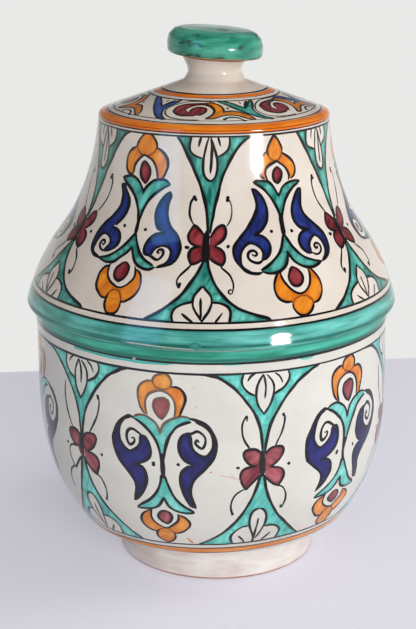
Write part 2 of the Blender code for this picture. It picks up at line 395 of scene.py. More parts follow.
lidMotif = {
    "petal": "-9.2,116.7 -8.7,118.6 -7.3,121.2 -5.5,123.3 -3.6,124.8 -1.7,125.3 .6,124.6 2.6,122.7 4.3,120.3 4.9,118.4 4.5,116.7",
    "petalFoot": "4.5,116.7 3.6,115.4 2.1,113.9 .9,112.9 -1.8,112.2 -4.7,112.6 -6.6,113.5 -8.1,115 -9.2,116.7",
    "lobeLeft": "-10,100.9 -11.5,100.5 -13.7,101.5 -15.1,103.3 -15.7,105.4 -15.7,108.4 -15.4,110.9 "
                "-14.1,113.3 -12,115.2 -9.8,116.5",
    "lobeRight": "5.1,117.3 7.3,116.3 9.6,114.6 11.5,112.2 12.5,109.7 12.6,106.7 11.9,104.1 10.9,101.5 9.4,99.6",
    "ring": "-10,100.7 -9.6,102.8 -9.4,105.4 -8.5,107.5 -6.8,109.7 -4.7,111.6 -3.2,112.6! -1.3,112 1.3,110.9 3.4,109.2 5.1,106.7 "
            "6.2,104.1 6.8,102 7,100",
    "drop": "-.6,96.4! .9,98.1 1.9,100.7 2.1,103.3 1.3,105.8 -.4,107.7 -2.6,109! -3.4,108.4 -4.3,106.7 -4.8,104.5 -4.6,102 "
            "-3.6,99.6 -2.1,97.9 -.6,96.4",
    "hornTop": "-17.1,98.1 -14.9,98.9 -12.4,99.6 -9.8,99.8 -7.3,99 -5.1,97.5 -3,95.4 -1.5,93 -.9,91.3! -.2,93 1.3,95.4 3.4,97.5 "
               "5.5,99 8.1,99.6 10.7,99.8 13.2,99.2 15.4,97.6",
    "hornLeft": "-17,98 -14.9,96.2 -12.8,94.5 -9.4,92 -7.3,89.9 -5.1,87.1 -3.4,83.9 -1.9,80.5 -.9,77.1 -.5,74.1",
    "hornRight": "15.4,97.1 12.4,95.4 9.8,93.5 7.3,91.4 5.1,89 3.4,86.5 1.9,83.1 1.1,80.1 .6,76.7 .5,74.1",
    "stem": "0,77 0,72 .1,66",
    "skirtLeft": "-.4,67.3 -1.5,65.2 -3,62.6 -4.7,60 -6.8,57.5 -9.4,54.9 -11.9,52.8 -14.9,51.1 -17.5,50.2 -20,49.6",
    "skirtRight": ".6,67.3 1.5,64.7 2.8,62.2 4.3,59.6 6,57 8.1,54.9 10.7,52.8 13.6,51.3 17.2,49.6",
    "hemLeft": "0,58.9 -.6,57 -2.1,54.9 -4.3,52.8 -6.4,50.6 -8.1,48.8 -10.7,48 -13.7,47.6 -16.2,48 -20,49",
    "hemRight": ".4,58.9 1.7,56.6 3,54.1 4.7,51.5 6.8,49.4 9.8,47.9 13.2,47 16.2,47.2 18.3,48.6",
    "backLeft": "-17.3,93.9 -16,91.2 -15.1,88.2 -14.9,85.2 -15.1,82.6 -16.2,80.1 -17.9,77.5 -19.8,75 -21.8,72.8 -23.9,70.7 "
                "-26,68.1 -27.7,65.6 -29,62.6 -29.9,59.6 -29.9,56.2 -29.2,53.2 -27.3,51.3 -24.7,50 -21.8,49.6 -19.2,48.9",
    "eyeLeft": "-21.8,50.2 -25.6,51.4 -27.3,53.6 -27.1,56.2 -26.7,58.8 -25.6,61.3 -23.9,63.4 -21.8,64.1 -19.2,63.4 -17.1,62 "
               "-15.9,60 -16.2,57.9 -17.5,56 -18.8,54.5",
    "bellyLeft": "-18.3,53.8 -16.2,54.3 -14.1,55.1 -11.9,56.6 -10.2,58.8 -9.4,61.3 -9.8,63.9 -11.1,66.2 -13.2,67.9 -15.8,68.6 "
                 "-17.9,69.2",
    "curlLeft": "-17.2,54 -18.6,53.8 -20.9,54.3 -22.8,55.8 -23.3,57.7 -22.4,59.6 -20.7,60 -19.8,58.6 -20.6,57.2 -21.6,57.8",
    "frontLeft": "-15.1,70.3 -13.7,72 -11.7,74.5 -10,77.5 -9.2,80.5 -9,83.5 -9.6,86.5 -11.1,89 -13.2,91.6 -15,94.4 -17.3,93.9",
    "backRight": "16.2,93.1 17.3,90.7 16.6,87.8 16.4,84.8 16.8,81.8 17.7,78.8 18.8,76.2 20.5,73.7 23,71.3 25.2,69.2 27.3,66.4 "
                 "29,63.4 29.9,60.5 29.9,57 29.4,54.1 27.7,51.7 25.2,50.4 22.6,49.4 19.2,48.5",
    "eyeRight": "20,49.4 23.5,51.1 24.7,52.8 25.3,55.3 25,58.3 23.9,60.2 21.8,61.5 19.2,62 16.8,61.1 15.4,60 14.3,58.3 14.3,56.2",
    "bellyRight": "12.8,55.3 10.2,56 8.7,57.9 8.3,60.9 9,63.4 10.7,66.2 12.8,68.1 15.8,69.2 18.3,69.6",
    "curlRight": "12.8,55.3 14.5,54.9 16.6,53.8 18.8,53.4 20.5,55.3 20.9,57.5 19.8,59.4 18,59.6 17.1,58.2 18,57.2 18.9,57.8",
    "frontRight": "15.4,70.5 13.2,72.2 11.5,74.5 10.4,77.1 9.8,80.1 10,83.5 11.1,86.5 12.8,89.5 14.9,92.2 16.2,93.1",
    "ringLow": "-9.8,47.5 -10.5,45.2 -10.2,42.6 -9.6,40.5 -8.1,38.4 -6,36.7 -3.4,35.4 -.9,34.5 1.7,34.7 4.3,36.2 6.4,38.4 "
               "7.9,40.5 8.3,43.1 7.7,45.6 6.6,47.8",
    "dropLow": "-.2,49.9! 1.7,48.6 3.2,46.7 3.4,43.9 2.8,41.8 1.3,39.7 -1.3,37.9! -3.4,38.8 -5.1,40.5 -5.7,43.1 -5.1,45.6 "
               "-3.4,47.5 -1.7,49.3 -.2,49.9",
    "crownLeft": "-10.4,46.2 -13.2,44.8 -14.9,42.6 -16,40.1 -16.2,36.7 -16,33.7 -14.9,31.5 -13.2,29.8 "
                 "-11.1,28.1 -8.5,27.1 -6.4,27.4",
    "crownRight": "3.8,26.9 5.5,26.6 8.5,28.3 11.1,30.7 12.8,33.7 13.4,36.7 13,40.1 11.9,43.1 10,45.2 8,46.2",
    "ball": "-5.6,30 -6.3,27.6 -6.5,23.9 -5.5,21.3 -4.1,19.4 -1.7,18.8 1.3,19.4 3.2,21.3 4,23.9 3.9,27",
    "ballTop": "3.9,27 3.2,29 2.1,31.1 .4,32.8 -2.6,32.8 -4.7,31.5 -5.6,30",
    "dots": "-8.7,70.7 5.8,70.3",
    "leafLeft": "@backLeft eyeLeft bellyLeft frontLeft",
    "leafRight": "@backRight eyeRight bellyRight frontRight",
}
lidMotifRight = {       # every second motif was drawn by another turn of the hand
    "petal": "-5.1,113.3 -5.8,115.6 -5.1,118 -3.8,120.5 -2.4,122.5 -1.1,124 .4,123.1 1.9,121.2 3.2,118.8 4.1,116.5 3.9,114.2",
    "petalFoot": "3.9,114.2 3,112.1 1.7,110.6 .2,109.9 -2.6,110.3 -4.1,111.3 -5.1,113.3",
    "lobeLeft": "-9,100.3 -10.6,101.6 -11.6,103.8 -11.9,106.4 -11.6,109.3 -10.9,111.4 -9.9,113 -8.3,114.1 -6.4,115.2",
    "lobeRight": "3.9,114.2 5.2,113.2 6.8,112.2 8.9,110.7 10.9,108.8 12.2,106.7 12.8,104.1 12.2,101.5 10.8,99.7 8.9,98.8",
    "ring": "-6.6,98.9 -7.6,101.3 -7.8,103.8 -6.9,106 -4.9,107.6 -2.6,108.6 .1,109.5! 2.3,108 4.3,106.6 "
            "6,104.8 7.3,102.4 7.8,100.3 7,98.3",
    "drop": "-.6,96.7 .9,98.1 2.2,100.2 2.9,102.4 2.2,104.4 0,106.2! -1.6,105.2 -2.7,103.7 -3.2,101.5 -3,99.2 -1.9,97.6 -.6,96.7",
    "hornTop": "-15.6,98.6 -14.2,99.3 -12.4,99.2 -9.8,99 -7.3,98.7 -5.1,97.1 -3.4,94.7 -2.1,92.2 -1,89.6! .4,91.7 "
               "1.7,93.9 3.9,95.6 6.4,96.6 9.4,97.1 12.4,97.1 15.1,96.6",
    "hornLeft": "-15.6,98.6 -13.7,97.2 -11.9,96 -9.8,94.1 -7.7,91.3 -5.8,88.5 -4.3,85.6 -3,82.4 -2.3,79.4 -2,76.6 -2,74.1",
    "hornRight": "15.1,96.6 12.8,95.2 10.2,93.9 7.7,92 5.5,90 3.4,87.3 2,84.6 .7,81.6 -.5,78.8 -1.2,76.2 -1.6,74.1",
    "stem": "-1.6,79 -1.9,74 -2,70 -2.1,66.5",
    "skirtLeft": "-2.8,67 -3.5,65 -4.3,63 -5.3,60.7 -7.1,57.9 -9.5,55.4 -12.9,52.7 -16.2,50.4 -19.1,48.7 -21.9,47.5",
    "skirtRight": "-1.5,67 -1,65 .3,62.2 1.5,59.4 3.4,56.4 5.8,53.6 8.7,51.3 12.1,49.8 15.4,48.6 18.4,47.8",
    "hemLeft": "-2.9,57 -3.4,54.2 -4.7,51.2 -6.6,48.6 -9,46.8 -11.9,45.5 -15.3,45 -18.6,45.3 -21.6,46.6",
    "hemRight": "-2.7,57 -2,54.2 -.9,51.7 .8,49.5 3.2,47.6 5.8,46.3 8.7,45.6 12.1,45.6 15.4,46.6 18.4,47.8",
    "backLeft": "-17.2,95 -16.3,91.8 -15.6,88.6 -15.5,86 -16.2,82.8 -18.2,79.4 -20.6,76.2 -23.4,72.8 -26.8,69.4 "
                "-30.2,66 -32.8,63 -34.5,59.8 -35,56.4 -34.5,53 -33.2,50.4 -31.2,47.6 -28.2,45.9 -24.9,45.5 -22,46",
    "eyeLeft": "-28.5,47.3 -31,49 -32.2,51.8 -31.8,54.8 -31,57.5 -29.2,60.3 -26.8,62.7 -24.2,63.9 -21.5,63.2 "
               "-19.1,61.3 -17.9,58.9 -18.2,56.5 -19.6,54.2",
    "bellyLeft": "-19.8,53.4 -17.2,54.1 -14.8,56 -12.9,58.9 -12.2,61.8 -12.9,64.6 -14.8,67 -17.6,68.4 -20.4,68.4",
    "curlLeft": "-19.6,53 -22,51.9 -24.4,52.3 -26.6,53.8 -27.3,56 -26.3,58.3 -24.2,59.5 -22.2,59 -21.6,57.4 "
                "-22.9,56.2 -24.2,56.6 -24.4,57.5",
    "frontLeft": "-19.6,69 -16.2,70.4 -13.4,72.8 -11.2,75.8 -10,79 -9.5,82.4 -10,85.8 -11.3,89.3 -13.2,92.2 -15.3,94.4 -17.2,95",
    "backRight": "15.4,92 14.5,88.4 13.7,84.8 13.5,81.4 14.5,78 16.4,75.2 19,72.6 21.7,69.9 24.5,67 26.9,64.2 "
                 "28.1,61.3 28.4,57.9 27.7,54.6 25.5,51.2 22.6,49.1 19.3,47.9",
    "eyeRight": "19.3,47.9 22.1,50.2 24,53.1 24.4,56.5 23.4,59.9 21.4,62.5 19.2,63.7 16.9,62.8 14.5,60.8 13.3,58.4 13.6,55.4",
    "bellyRight": "14,53.8 11.6,53.9 9.2,55.5 7.3,58.4 6.8,61.8 7.8,64.7 10.1,66.8 13,67.9 15.9,68.2",
    "curlRight": "14,53.8 16.2,52.4 18.8,52.6 20.7,54.1 21.4,56.3 20.3,58.4 18.3,59 16.8,57.9 17.4,56.2 18.8,56.2 18.9,57.2",
    "frontRight": "14.2,68.6 11.1,69.1 8.7,70.9 6.8,73.8 6.1,77.5 6.5,81 7.7,84.3 9.6,87.6 11.4,90.3 13.2,92.2 15.4,92.2",
    "ringLow": "-11.2,45.4 -11.2,42.8 -10.5,40.2 -9,37.3 -7.1,34.7 -4.7,32.6 -2.2,31.5 .5,31.8 3.4,33.5 5.8,36.3 "
               "7,39.7 7.4,42.6 7,45.6",
    "dropLow": "-2.6,47.7! -.4,46.2 1.5,43.8 2.4,41 1.6,38.3 -.3,36.5 -2.7,35.9 -5.1,36.7 -6.7,38.9 -6.9,41.8 -5.4,44.7 -4,46.6 "
               "-2.6,47.7",
    "crownLeft": "-12.4,45 -14,43.4 -15.5,41 -16.7,38.3 -17.2,34.9 -16.5,31.5 -14.8,29.2 -11.9,27.7 -8.2,27.5",
    "crownRight": "5.6,25 9.2,25.9 11.6,28.3 13.3,31.5 13.6,35.4 12.6,39.2 10.7,42.5 8.6,45",
    "ball": "-8.1,26.6 -8.2,24.2 -7,21.6 -5,19.7 -2.2,18.9 .8,19.4 3.4,21.2 5,23.6 5.6,25",
    "ballTop": "5.6,25 4.4,27.6 2,29.6 -.9,30.2 -4.2,29.6 -6.6,28.4 -8.1,26.6",
    "dots": "-9.4,69.9 3.6,68.7",
    "leafLeft": "@backLeft eyeLeft bellyLeft frontLeft",
    "leafRight": "@backRight eyeRight bellyRight frontRight",
}
jarMotif = {
    "petal": "-4.3,143.9 -4.6,145.8 -2.9,148.7 .5,150.1 2.9,150.6 5.3,148.7 6.5,146.3 6.5,143.9 5.3,142.2",
    "petalFoot": "5.3,142.2 2.4,140.8 -.5,141.2 -2.9,142.2 -4.3,143.9",
    "lobeLeft": "-9.6,125.2 -11,126.8 -12.5,129.5 -13.2,132.4 -13.7,135.2 -13.7,138.6 -13,141.2 -11,143.6 -8.2,145.1 -5.3,145.6",
    "lobeRight": "6.7,142.7 9.1,142.8 11.5,142 13.4,140 14.5,137.2 14.4,134.3 13.4,131.4 12.2,128.5 11,125.4",
    "ring": "-8.2,124.7 -9.1,127.6 -9.4,130.9 -8.9,134.3 -7.2,137.2 -4.8,138.8 -1.9,139.8 1,140 3.8,139.1 6.2,137.2 7.9,134.5 "
            "8.6,131.4 8.6,128 7.9,124.7",
    "ringLeft": "-8.2,124.7 -9.1,127.6 -9.4,130.9 -8.9,134.3 -7.2,137.2 -4.8,138.8 -3,139.4",
    "drop": ".7,122.8! 2.9,126.1 4.3,129 5,131.9 4.3,134.5 1.9,136! -1.4,135.2 -3.8,133.8 -4.6,130.4 "
            "-3.8,127.6 -1.9,124.7 .7,122.8",
    "hornTop": "-17.3,122.3 -14.9,123.7 -12,124.3 -9.1,124 -6.2,122.5 -3.4,120.6 -1.7,118 -.7,114.6! .2,117.5 1.4,119.9 3.8,122 "
               "6.7,123.7 9.6,124.7 12,125.4 14.9,125.2 17.3,124.2",
    "hornLeft": "-16.8,121.6 -14.4,120.6 -11.5,118.9 -8.6,116.5 -6.2,114.1 -3.8,110.8 -2.4,107.9 -1.4,104.5 -.9,101.2 -.7,97.8",
    "hornRight": "17.3,122.3 14.9,121.8 12,120.6 9.1,118.9 6.7,116 4.8,113.2 3.4,109.8 2.4,106.4 1.7,103.1 1.2,99.2",
    "stem": ".2,102 .2,95 .3,87",
    "skirtLeft": "-1,88.4 -1.4,85 -2.4,81.7 -3.8,78.3 -5.8,75 -8.2,72.1 -11,69.4 -13.9,67.3 -16.8,64.9 -18.2,63.4",
    "skirtRight": "1.2,88.4 2.2,84.6 3.4,80.7 4.6,77.4 6.2,74 8.6,70.6 11.5,67.8 14.4,65.8 16.8,64",
    "hemLeft": "-.6,73.3 -1.4,71.6 -2.9,68.7 -4.8,66.3 -7.7,64.6 -11,63.7 -14.9,63.2 -18,63",
    "hemRight": "-.5,73.3 .2,71.6 1,69.2 2.4,66.8 4.8,64.9 8.2,63.4 12,63 16.6,63.2",
    "backLeft": "-16.8,121.6 -19.7,122.8 -22.1,121.8 -25,119.6 -27.4,117 -29.3,114.1 -30.5,111.2 -31.4,108.8 -31.4,105.5 "
                "-30.7,102.1 -29.3,98.3 -27.4,94.8 -24.5,91 -22.1,87.9 -19.7,85 -18,81.7 -17.5,78.3 "
                "-17.8,75 -18.5,71.6 -19.4,68.6",
    "eyeLeft": "-12.6,112.6 -13.4,110.6 -13.4,109.2 -13.7,106.9 -15.4,104.5 -17.8,102.6 -20.2,101.6 -22.6,102.8 -24.7,105 "
               "-26.2,107.4 -26.6,109.8 -26.6,113.2 -25.4,117 -22.5,120.5 -19.4,121.6",
    "bellyLeft": "-17.8,93.7 -15.4,93.9 -13.4,95.2 -11,96.4 -8.6,98.3 -7.2,100.2 -6.6,103.1 -7,106.4 "
                 "-8.2,109.3 -10.1,111.7 -12,112.2",
    "curlLeft": "-12,112.2 -14.9,113.9 -17.3,115.1 -19.7,114.8 -21.4,112.7 -21.8,109.8 -21.1,106.9 -19.7,105.5 -17.8,106.4 "
                "-16.6,108.4 -17.2,110 -18.7,109.6",
    "frontLeft": "-19.4,68.6 -16.8,70.6 -14.4,73.5 -12.5,76.9 -10.8,80.7 -10.1,84.1 -10.1,87.4 -10.8,90.3 -12.5,92.7 -15.4,93.7",
    "backRight": "17.3,124.2 20.6,123.5 24,122.3 26.9,120.4 29.3,117.5 31,114.1 31.9,110.3 31.9,106.4 31,103.1 29.3,99.7 "
                 "26.9,96.4 24.5,93.5 21.6,90.6 19.9,88.6 18.2,86 16.8,83.1 16.1,79.8 16.1,76.4 16.6,73 17.3,70.2 18.2,67.3",
    "eyeRight": "16.6,116 17.3,113 17.5,108.8 18.7,106 20.6,104 23,102.6 25.9,102.4 28.3,104.5 29.9,107.4 30,111.2 29.3,115.1 "
                "26.9,118.4 24,120.8 20.4,122.2",
    "bellyRight": "18.2,96.8 15.6,97.8 13.4,99.2 11.5,101.6 10.3,105 10.3,108.8 11,111.7 12.5,114.1 14.9,115.8",
    "curlRight": "14.9,115.8 17.8,115.6 20.9,117 23.5,115.8 25.4,113.6 25.7,110.8 24.7,107.9 23.3,106.9 21.1,108.4 19.9,110 "
                 "20.9,112 21.9,110.6",
    "frontRight": "18.2,67.3 15.1,68.7 13.9,71.1 12.5,74.5 11.3,78.3 10.6,82.2 10.3,86 10.6,89.4 11.6,92 13,93.6 15.4,96.1",
    "ringLow": "-9.1,63.4 -9.8,60.1 -9.8,56.7 -8.6,53.8 -6.2,51.4 -3.4,49.8 -1,49.3 1.4,51 3.8,53.4 6,55.8 7,58.6 7,62",
    "dropLow": "-.5,63.9! 1.9,62.5 3.1,60.1 2.6,57.2 1.4,54.8 -.5,53.1! -2.9,54.3 -4.8,56.2 -5.7,58.6 -4.8,61 -2.9,63 -.5,63.9",
    "crownLeft": "-10,62.8 -13,61 -15.4,58.6 -16.8,55.3 -16.8,51.9 -15.4,49 -13,46.6 -10.6,45.4 -8.2,45.2",
    "crownRight": "3,45.2 4.8,45.2 8.2,46.9 11,49.5 13,52.4 13.4,55.3 12,58.2 9.6,60.3 7.2,61",
    "ball": "-6.6,46.8 -7.8,45 -8.5,42.8 -8.2,39.9 -6.2,37.3 -3.4,35.6 -.5,36.3 1.9,39 3.1,42.3 2.8,45",
    "ballTop": "2.8,45 1,47.8 -1.9,48.8 -4.8,48.1 -6.6,46.8",
    "dots": "-5.3,96 -5.3,94.8 9.6,96.4",
    "leafLeft": "@backLeft frontLeft bellyLeft eyeLeft",
    "leafRight": "@backRight frontRight bellyRight eyeRight",
}
motifRecipe = [
    ("wash", "orange", "lobeLeft petal lobeRight -ring", (0.3, 0.95)),
    ("wash", "teal", "hornTop hornRight -hornLeft", (0.5, 0.87)),
    ("wash", "teal", "-skirtLeft skirtRight -hemRight hemLeft", (0.5, 0.87)),
    ("wash", "cobalt", "leafLeft", (0.4, 0.92)),
    ("wash", "cobalt", "leafRight", (-0.4, 0.92)),
    ("wash", "orange", "crownLeft crownRight -ringLow", (0.3, 0.95)),
    ("wash", "orange", "ball ballTop", (0.7, 0.7)),
    ("wash", "maroon", "drop", (0.2, 0.98)),
    ("wash", "maroon", "dropLow", (0.2, 0.98)),
    ("line", "orangeLine", 0.8, "petalFoot ballTop"),
    ("line", "crownInk", 1.5, "petal lobeLeft ring drop hornTop"),
    ("line", "ink", 1.5, "lobeRight dropLow ringLow crownLeft crownRight ball"),
    ("line", "ink", 1.75, "hornLeft hornRight skirtLeft skirtRight hemLeft hemRight"),
    ("line", "ink", 2.7, "stem"),
    ("line", "ink", 1.75, "backLeft backRight frontLeft frontRight bellyLeft bellyRight"),
    ("line", "ink", 1.5, "eyeLeft eyeRight"),
    ("line", "ink", 1.7, "curlLeft curlRight"),
    ("dots", "ink", 1.1, "dots"),
]
lidSpandrel = {
    "arcUpLeft": "-19.9,126.4 -17.2,122.3 -15,118.7 -12.7,114.4 -10.4,109.9 -8.2,104.9 -5.9,99.9 -4.1,94.9 -2.5,89.9 -1.4,84.9 "
                 "-.7,79.9 -.2,75 .2,70.4",
    "arcUpRight": "26,126 23.6,124.6 21.3,123.7 18.1,121.2 15.4,118 13.1,114.4 11.3,111.2 9.5,107.1 7.7,103.1 6.3,98.1 5.4,93.5 "
                  "4.3,89 3.4,84.9 2.7,79.9 2,75.9 1.4,70.6",
    "fanLeft": "-10.4,126 -11.3,121.7 -11.6,118.5 -10.7,116 -8.6,114.4 -6.3,113.5 -4.3,113",
    "fanRight": "10.7,126 11.1,122.1 10.7,118.9 9.3,116.7 7.3,115.1 5,113.9",
    "fanMiddle": "-.7,124.8 -1.8,121.2 -2.7,117.1 -3.4,113 -3.7,109 -3.4,105.3 -2.3,102.2 0,100.3 1.8,100.6 3.4,102.6 4.3,106.2 "
                 "4.4,109.4 4.1,113 2.9,117.1 1.8,120.7 .7,123.9",
    "veins": [".5,124.5 1.1,118.9 1,113 .8,108.5 .5,104.4", "-5,125 -5.9,122.1 -6.4,119.4", "4.3,125 5.2,122.1 5.9,119.6",
              "-2.9,32 -2.7,26 -2.4,20.5", "-13,22.9 -10.6,21 -6.7,18.3", "9.4,23.8 7.4,21 5.3,18.3"],
    "body": "-.4,71 -.7,66 -.7,60 -.6,54",
    "wingUpLeft": "-1.7,69.2 -2.9,70.6 -5.3,73.3 -7.7,75.2! -10.6,70.4 -11,67.5 -9.8,64.9 -7.2,63.2 -4.2,62.7",
    "wingLowLeft": "-4.2,62.5 -7.7,61.8 -9.6,59.8 -10.3,57 -9.8,54.1 -8.6,51.7! -5.3,52.9 -2.9,54.6 -1.4,56",
    "wingUpRight": "1.5,68 2.9,70.4 4.8,73.3 7.2,75 8.9,75 10.1,72.8 10.3,70.4 9.4,67.5 7.2,65.1 4.4,63",
    "wingLowRight": "4.4,62.7 7.2,61.5 9.4,59.4 10.3,56.5 10.1,53.6 8.6,51.2! 6.7,52.2 3.8,53.8 1,56",
    "tendrils": ["-8.2,75.4 -9.7,78.1 -10.7,81.3 -10.6,84.9 -10,88.1 -8.2,91.1", "-8.6,51.7 -10.6,49.3 -13,46.9 -15.4,44.2 "
                 "-16.6,41.6 -16.3,39.2 -15.4,37.6", "8.2,50.2 10.6,48.1 13,45.7 14.6,42.6 15.4,39.2 15.1,36.3"],
    "thinTendrils": ["10.7,74.5 12.5,77.7 13.2,81.3 13.1,84.9 12.2,88.1 10.7,90.8"],
    "blobs": "-8.2,90.8 -7.4,89.6 10.7,90.6 10.7,89.2 -15.4,38.6 -14.9,39.9",
    "ringBlob": "15.1,36.3 14.8,35 13.6,34.4 12.6,35.4 12.8,36.7 13.9,37.1 15,36.5",
    "dots": "-11.9,62 -11.1,61.9 11.9,62.7",
    "arcLowLeft": "-1.9,56 -2.2,53.1 -3.4,50.2 -5.3,46.4 -7.7,42.6 -10.6,38.2 -13.4,34.4 -16.8,31 -20.6,27.9 "
                  "-24.5,24.8 -28.3,22.2 -32.2,20 -36,17.8",
    "arcLowRight": ".5,56 .7,53.1 1.2,50.2 2.2,46.9 3.8,42.6 6.2,38.2 8.6,34.9 11.5,31.5 14.9,28.6 18.7,26 23,24.1 27.4,22.4 "
                   "31.2,21 35.5,19.6 38,17.8",
    "bloomLeft": "-1.4,39 -2.6,38.5 -4.8,35.8 -6.7,33.2 -7.3,30.1 -7,27.2 -5.5,24.3 -3.8,21.9 -2,19",
    "bloomRight": "-1.4,39 -.5,37.4 1.7,35.1 3.1,32.5 3.4,29.6 2.6,26.7 1.2,23.8 -.5,21.4 -1.9,19",
    "budLeft": "-7.3,30.1 -11,29.1 -14.4,27.7 -17.3,25.8 -18.7,23.4 -19,20.5 -18,17.6",
    "budRight": "3.4,29.8 7.2,29.6 10.1,28.6 12.5,27.2 13.9,24.8 14,21.9 13.4,17.6",
}
jarSpandrel = {
    "arcUpLeft": "-38,151 -33.1,150.6 -29.8,149.9 -26.4,149.2 -23,147.2 -19.7,144.8 -16.8,142.4 -14.4,139.6 -12,136.7 -9.6,133.3 "
                 "-7.2,130 -5,126.1 -3.4,122.3 -2.2,118.4 -1.4,114.6 -1,110.8 -.7,106.9 -.7,103.1",
    "arcUpRight": "36,150.6 32.4,149.6 28.8,147.7 25,145.6 21.6,143.2 18.7,140.3 15.8,137.4 13,134 10.6,130.7 8.2,126.8 6,123.2 "
                  "4.3,119.9 3.1,116 2.2,112.2 1.4,108.4 .8,103.1",
    "fanLeft": "-11.3,151 -12.5,146.8 -12,143.9 -10.3,141.2 -8.2,139.1 -4.6,137.4",
    "fanRight": "15.1,151 16.2,148.2 15.8,145.3 14.2,142.7 12,140.5 9.1,139.1 6.5,137.6",
    "fanMiddle": "0,149.6 -2.4,145.8 -3.8,142 -4.2,138.1 -3.9,134.3 -2.9,130.9 -1.4,128.5 .2,126.1! 2.4,129 4.1,131.9 5.5,135.2 "
                 "6.3,138.6 6.5,142 5.8,144.8 4.3,147.2 2.4,149.4",
    "veins": [".2,149.8 1.2,145.8 1.5,141.5 .9,135.7", "-4.8,150.6 -7.2,149.2 -9,146.5", "7.4,150 10.1,147.7 11.8,143.9",
              "-.7,57.8 -.9,53 -1.4,47 -1.7,41 -2,36", "-10.9,43.2 -8.7,40.3 -6.6,36.5", "8.3,43.9 5.9,40.8 3.3,37.4"],
    "body": "-.6,104 -.7,99 -.7,94 -.6,88.5",
    "wingUpLeft": "-.9,102.8 -2.4,104 -4.8,105.5 -7.7,105.7 -10.6,105 -11.9,103.1 -11.5,100.7 -9.8,97.8 -7.7,95.9 -4.4,94.9",
    "wingLowLeft": "-4.6,95.1 -9.2,94.5 -12.1,93.1 -13.5,90.7 -13.8,87.8 -13,85 -11.6,82.1 -9.9,79.9! "
                   "-7.3,83 -4.9,85.9 -2.4,88.8",
    "wingUpRight": "1,102.1 2.4,104 4.8,105.7 8.2,106.2 11.3,105.7 12.4,103.6 11.5,100.7 9.6,97.8 6.7,95.4 4,93.9",
    "wingLowRight": "4.2,93.8 8.6,93.1 11.4,91.7 12.8,88.8 12.4,85.9 11,83 9.5,80.6! 6.6,82.1 3.8,84.5 1.2,87.6",
    "tendrils": ["-8.2,106.2 -10.6,109.8 -12.2,113.6 -12.7,117.5 -12.5,120.8 -11.3,123.7 -9.8,125.6 -9.9,122.6",
                 "7,106.4 9.1,110.3 11,114.1 12.2,117.5 12.9,120.8 12.9,123.7 12,124.7",
                 "-10.6,80.4 -13,79.2 -15.9,76.8 -17.6,73.4 -18.2,70.1 -18.1,67.2 -17.4,64.3 -16.6,62.2",
                 "10,80.6 12.4,79.2 14.1,76.3 15,73 14.8,69.1 13.8,66.2 12.8,64.8 12,66.6"],
    "thinTendrils": [],
    "blobs": "12.2,124.5 -16.8,62.7 12.8,64.9",
    "ringBlob": "",
    "dots": "-15,94.6 15.8,94.3",
    "arcLowLeft": "-2,88.8 -2.5,85.9 -3.4,82.1 -4.6,78.2 -5.8,74.4 -7.3,70.6 -9.2,66.2 -11.1,61.9 -13.5,57.6 -16.2,53.3 -19.3,49 "
                  "-22.6,45.1 -26,41.8 -29.8,38.4 -34.5,34.6",
    "arcLowRight": ".6,88.8 1.1,85 1.8,81.1 2.8,77.3 4.2,73 6.2,68.6 8.6,63.8 11.4,59 14.3,55.2 17.2,51.4 20.1,47.5 23.4,43.2 "
                   "26.8,39.2 29.6,35.4",
    "bloomLeft": "-.8,65.6 -2.4,65.3 -4.4,63.9 -5.5,61.2 -5.9,58.1 -5.7,54.2 -4.9,50.4 -3.4,46.1 -1.4,40.3",
    "bloomRight": "-.8,65.6 .8,65.2 2.8,63 3.9,60.2 4.2,57.1 3.9,53.3 3,49.9 1.6,45.6 -.5,40.3",
    "budLeft": "-5.7,52.3 -9.7,51.4 -12.6,49 -14.7,46.1 -15.7,43.2 -15.2,39.8 -13.2,35",
    "budRight": "3.8,50.6 7.6,50.9 10.5,49.9 12.9,48 14.1,45.1 13.6,41.8 12,36",
}
spandrelRecipe = [
    ("wash", "teal", "arcUpLeft -arcUpRight", (0.1, 0.99)),
    ("wash", "teal", "arcLowLeft -arcLowRight", (0.4, 0.92)),
    ("wash", "ground", "fanLeft -fanRight", (1, 0)),
    ("wash", "ground", "fanMiddle", (1, 0)),
    ("wash", "ground", "bloomLeft -bloomRight", (1, 0)),
    ("wash", "ground", "-budLeft budRight", (1, 0)),
    ("wash", "maroon", "wingUpLeft wingLowLeft", (0.6, 0.8)),
    ("wash", "maroon", "wingUpRight wingLowRight", (-0.6, 0.8)),
    ("line", "ink", 1.8, "arcUpLeft arcUpRight arcLowLeft arcLowRight"),
    ("line", "ink", 1.5, "fanLeft fanRight fanMiddle bloomLeft bloomRight budLeft budRight veins"),
    ("line", "ink", 1.55, "wingUpLeft wingLowLeft wingUpRight wingLowRight"),
    ("line", "ink", 1.3, "tendrils ringBlob"),
    ("line", "inkThin", 0.9, "thinTendrils"),
    ("line", "ink", 3.7, "body"),
    ("dots", "ink", 1.1, "dots blobs"),
]
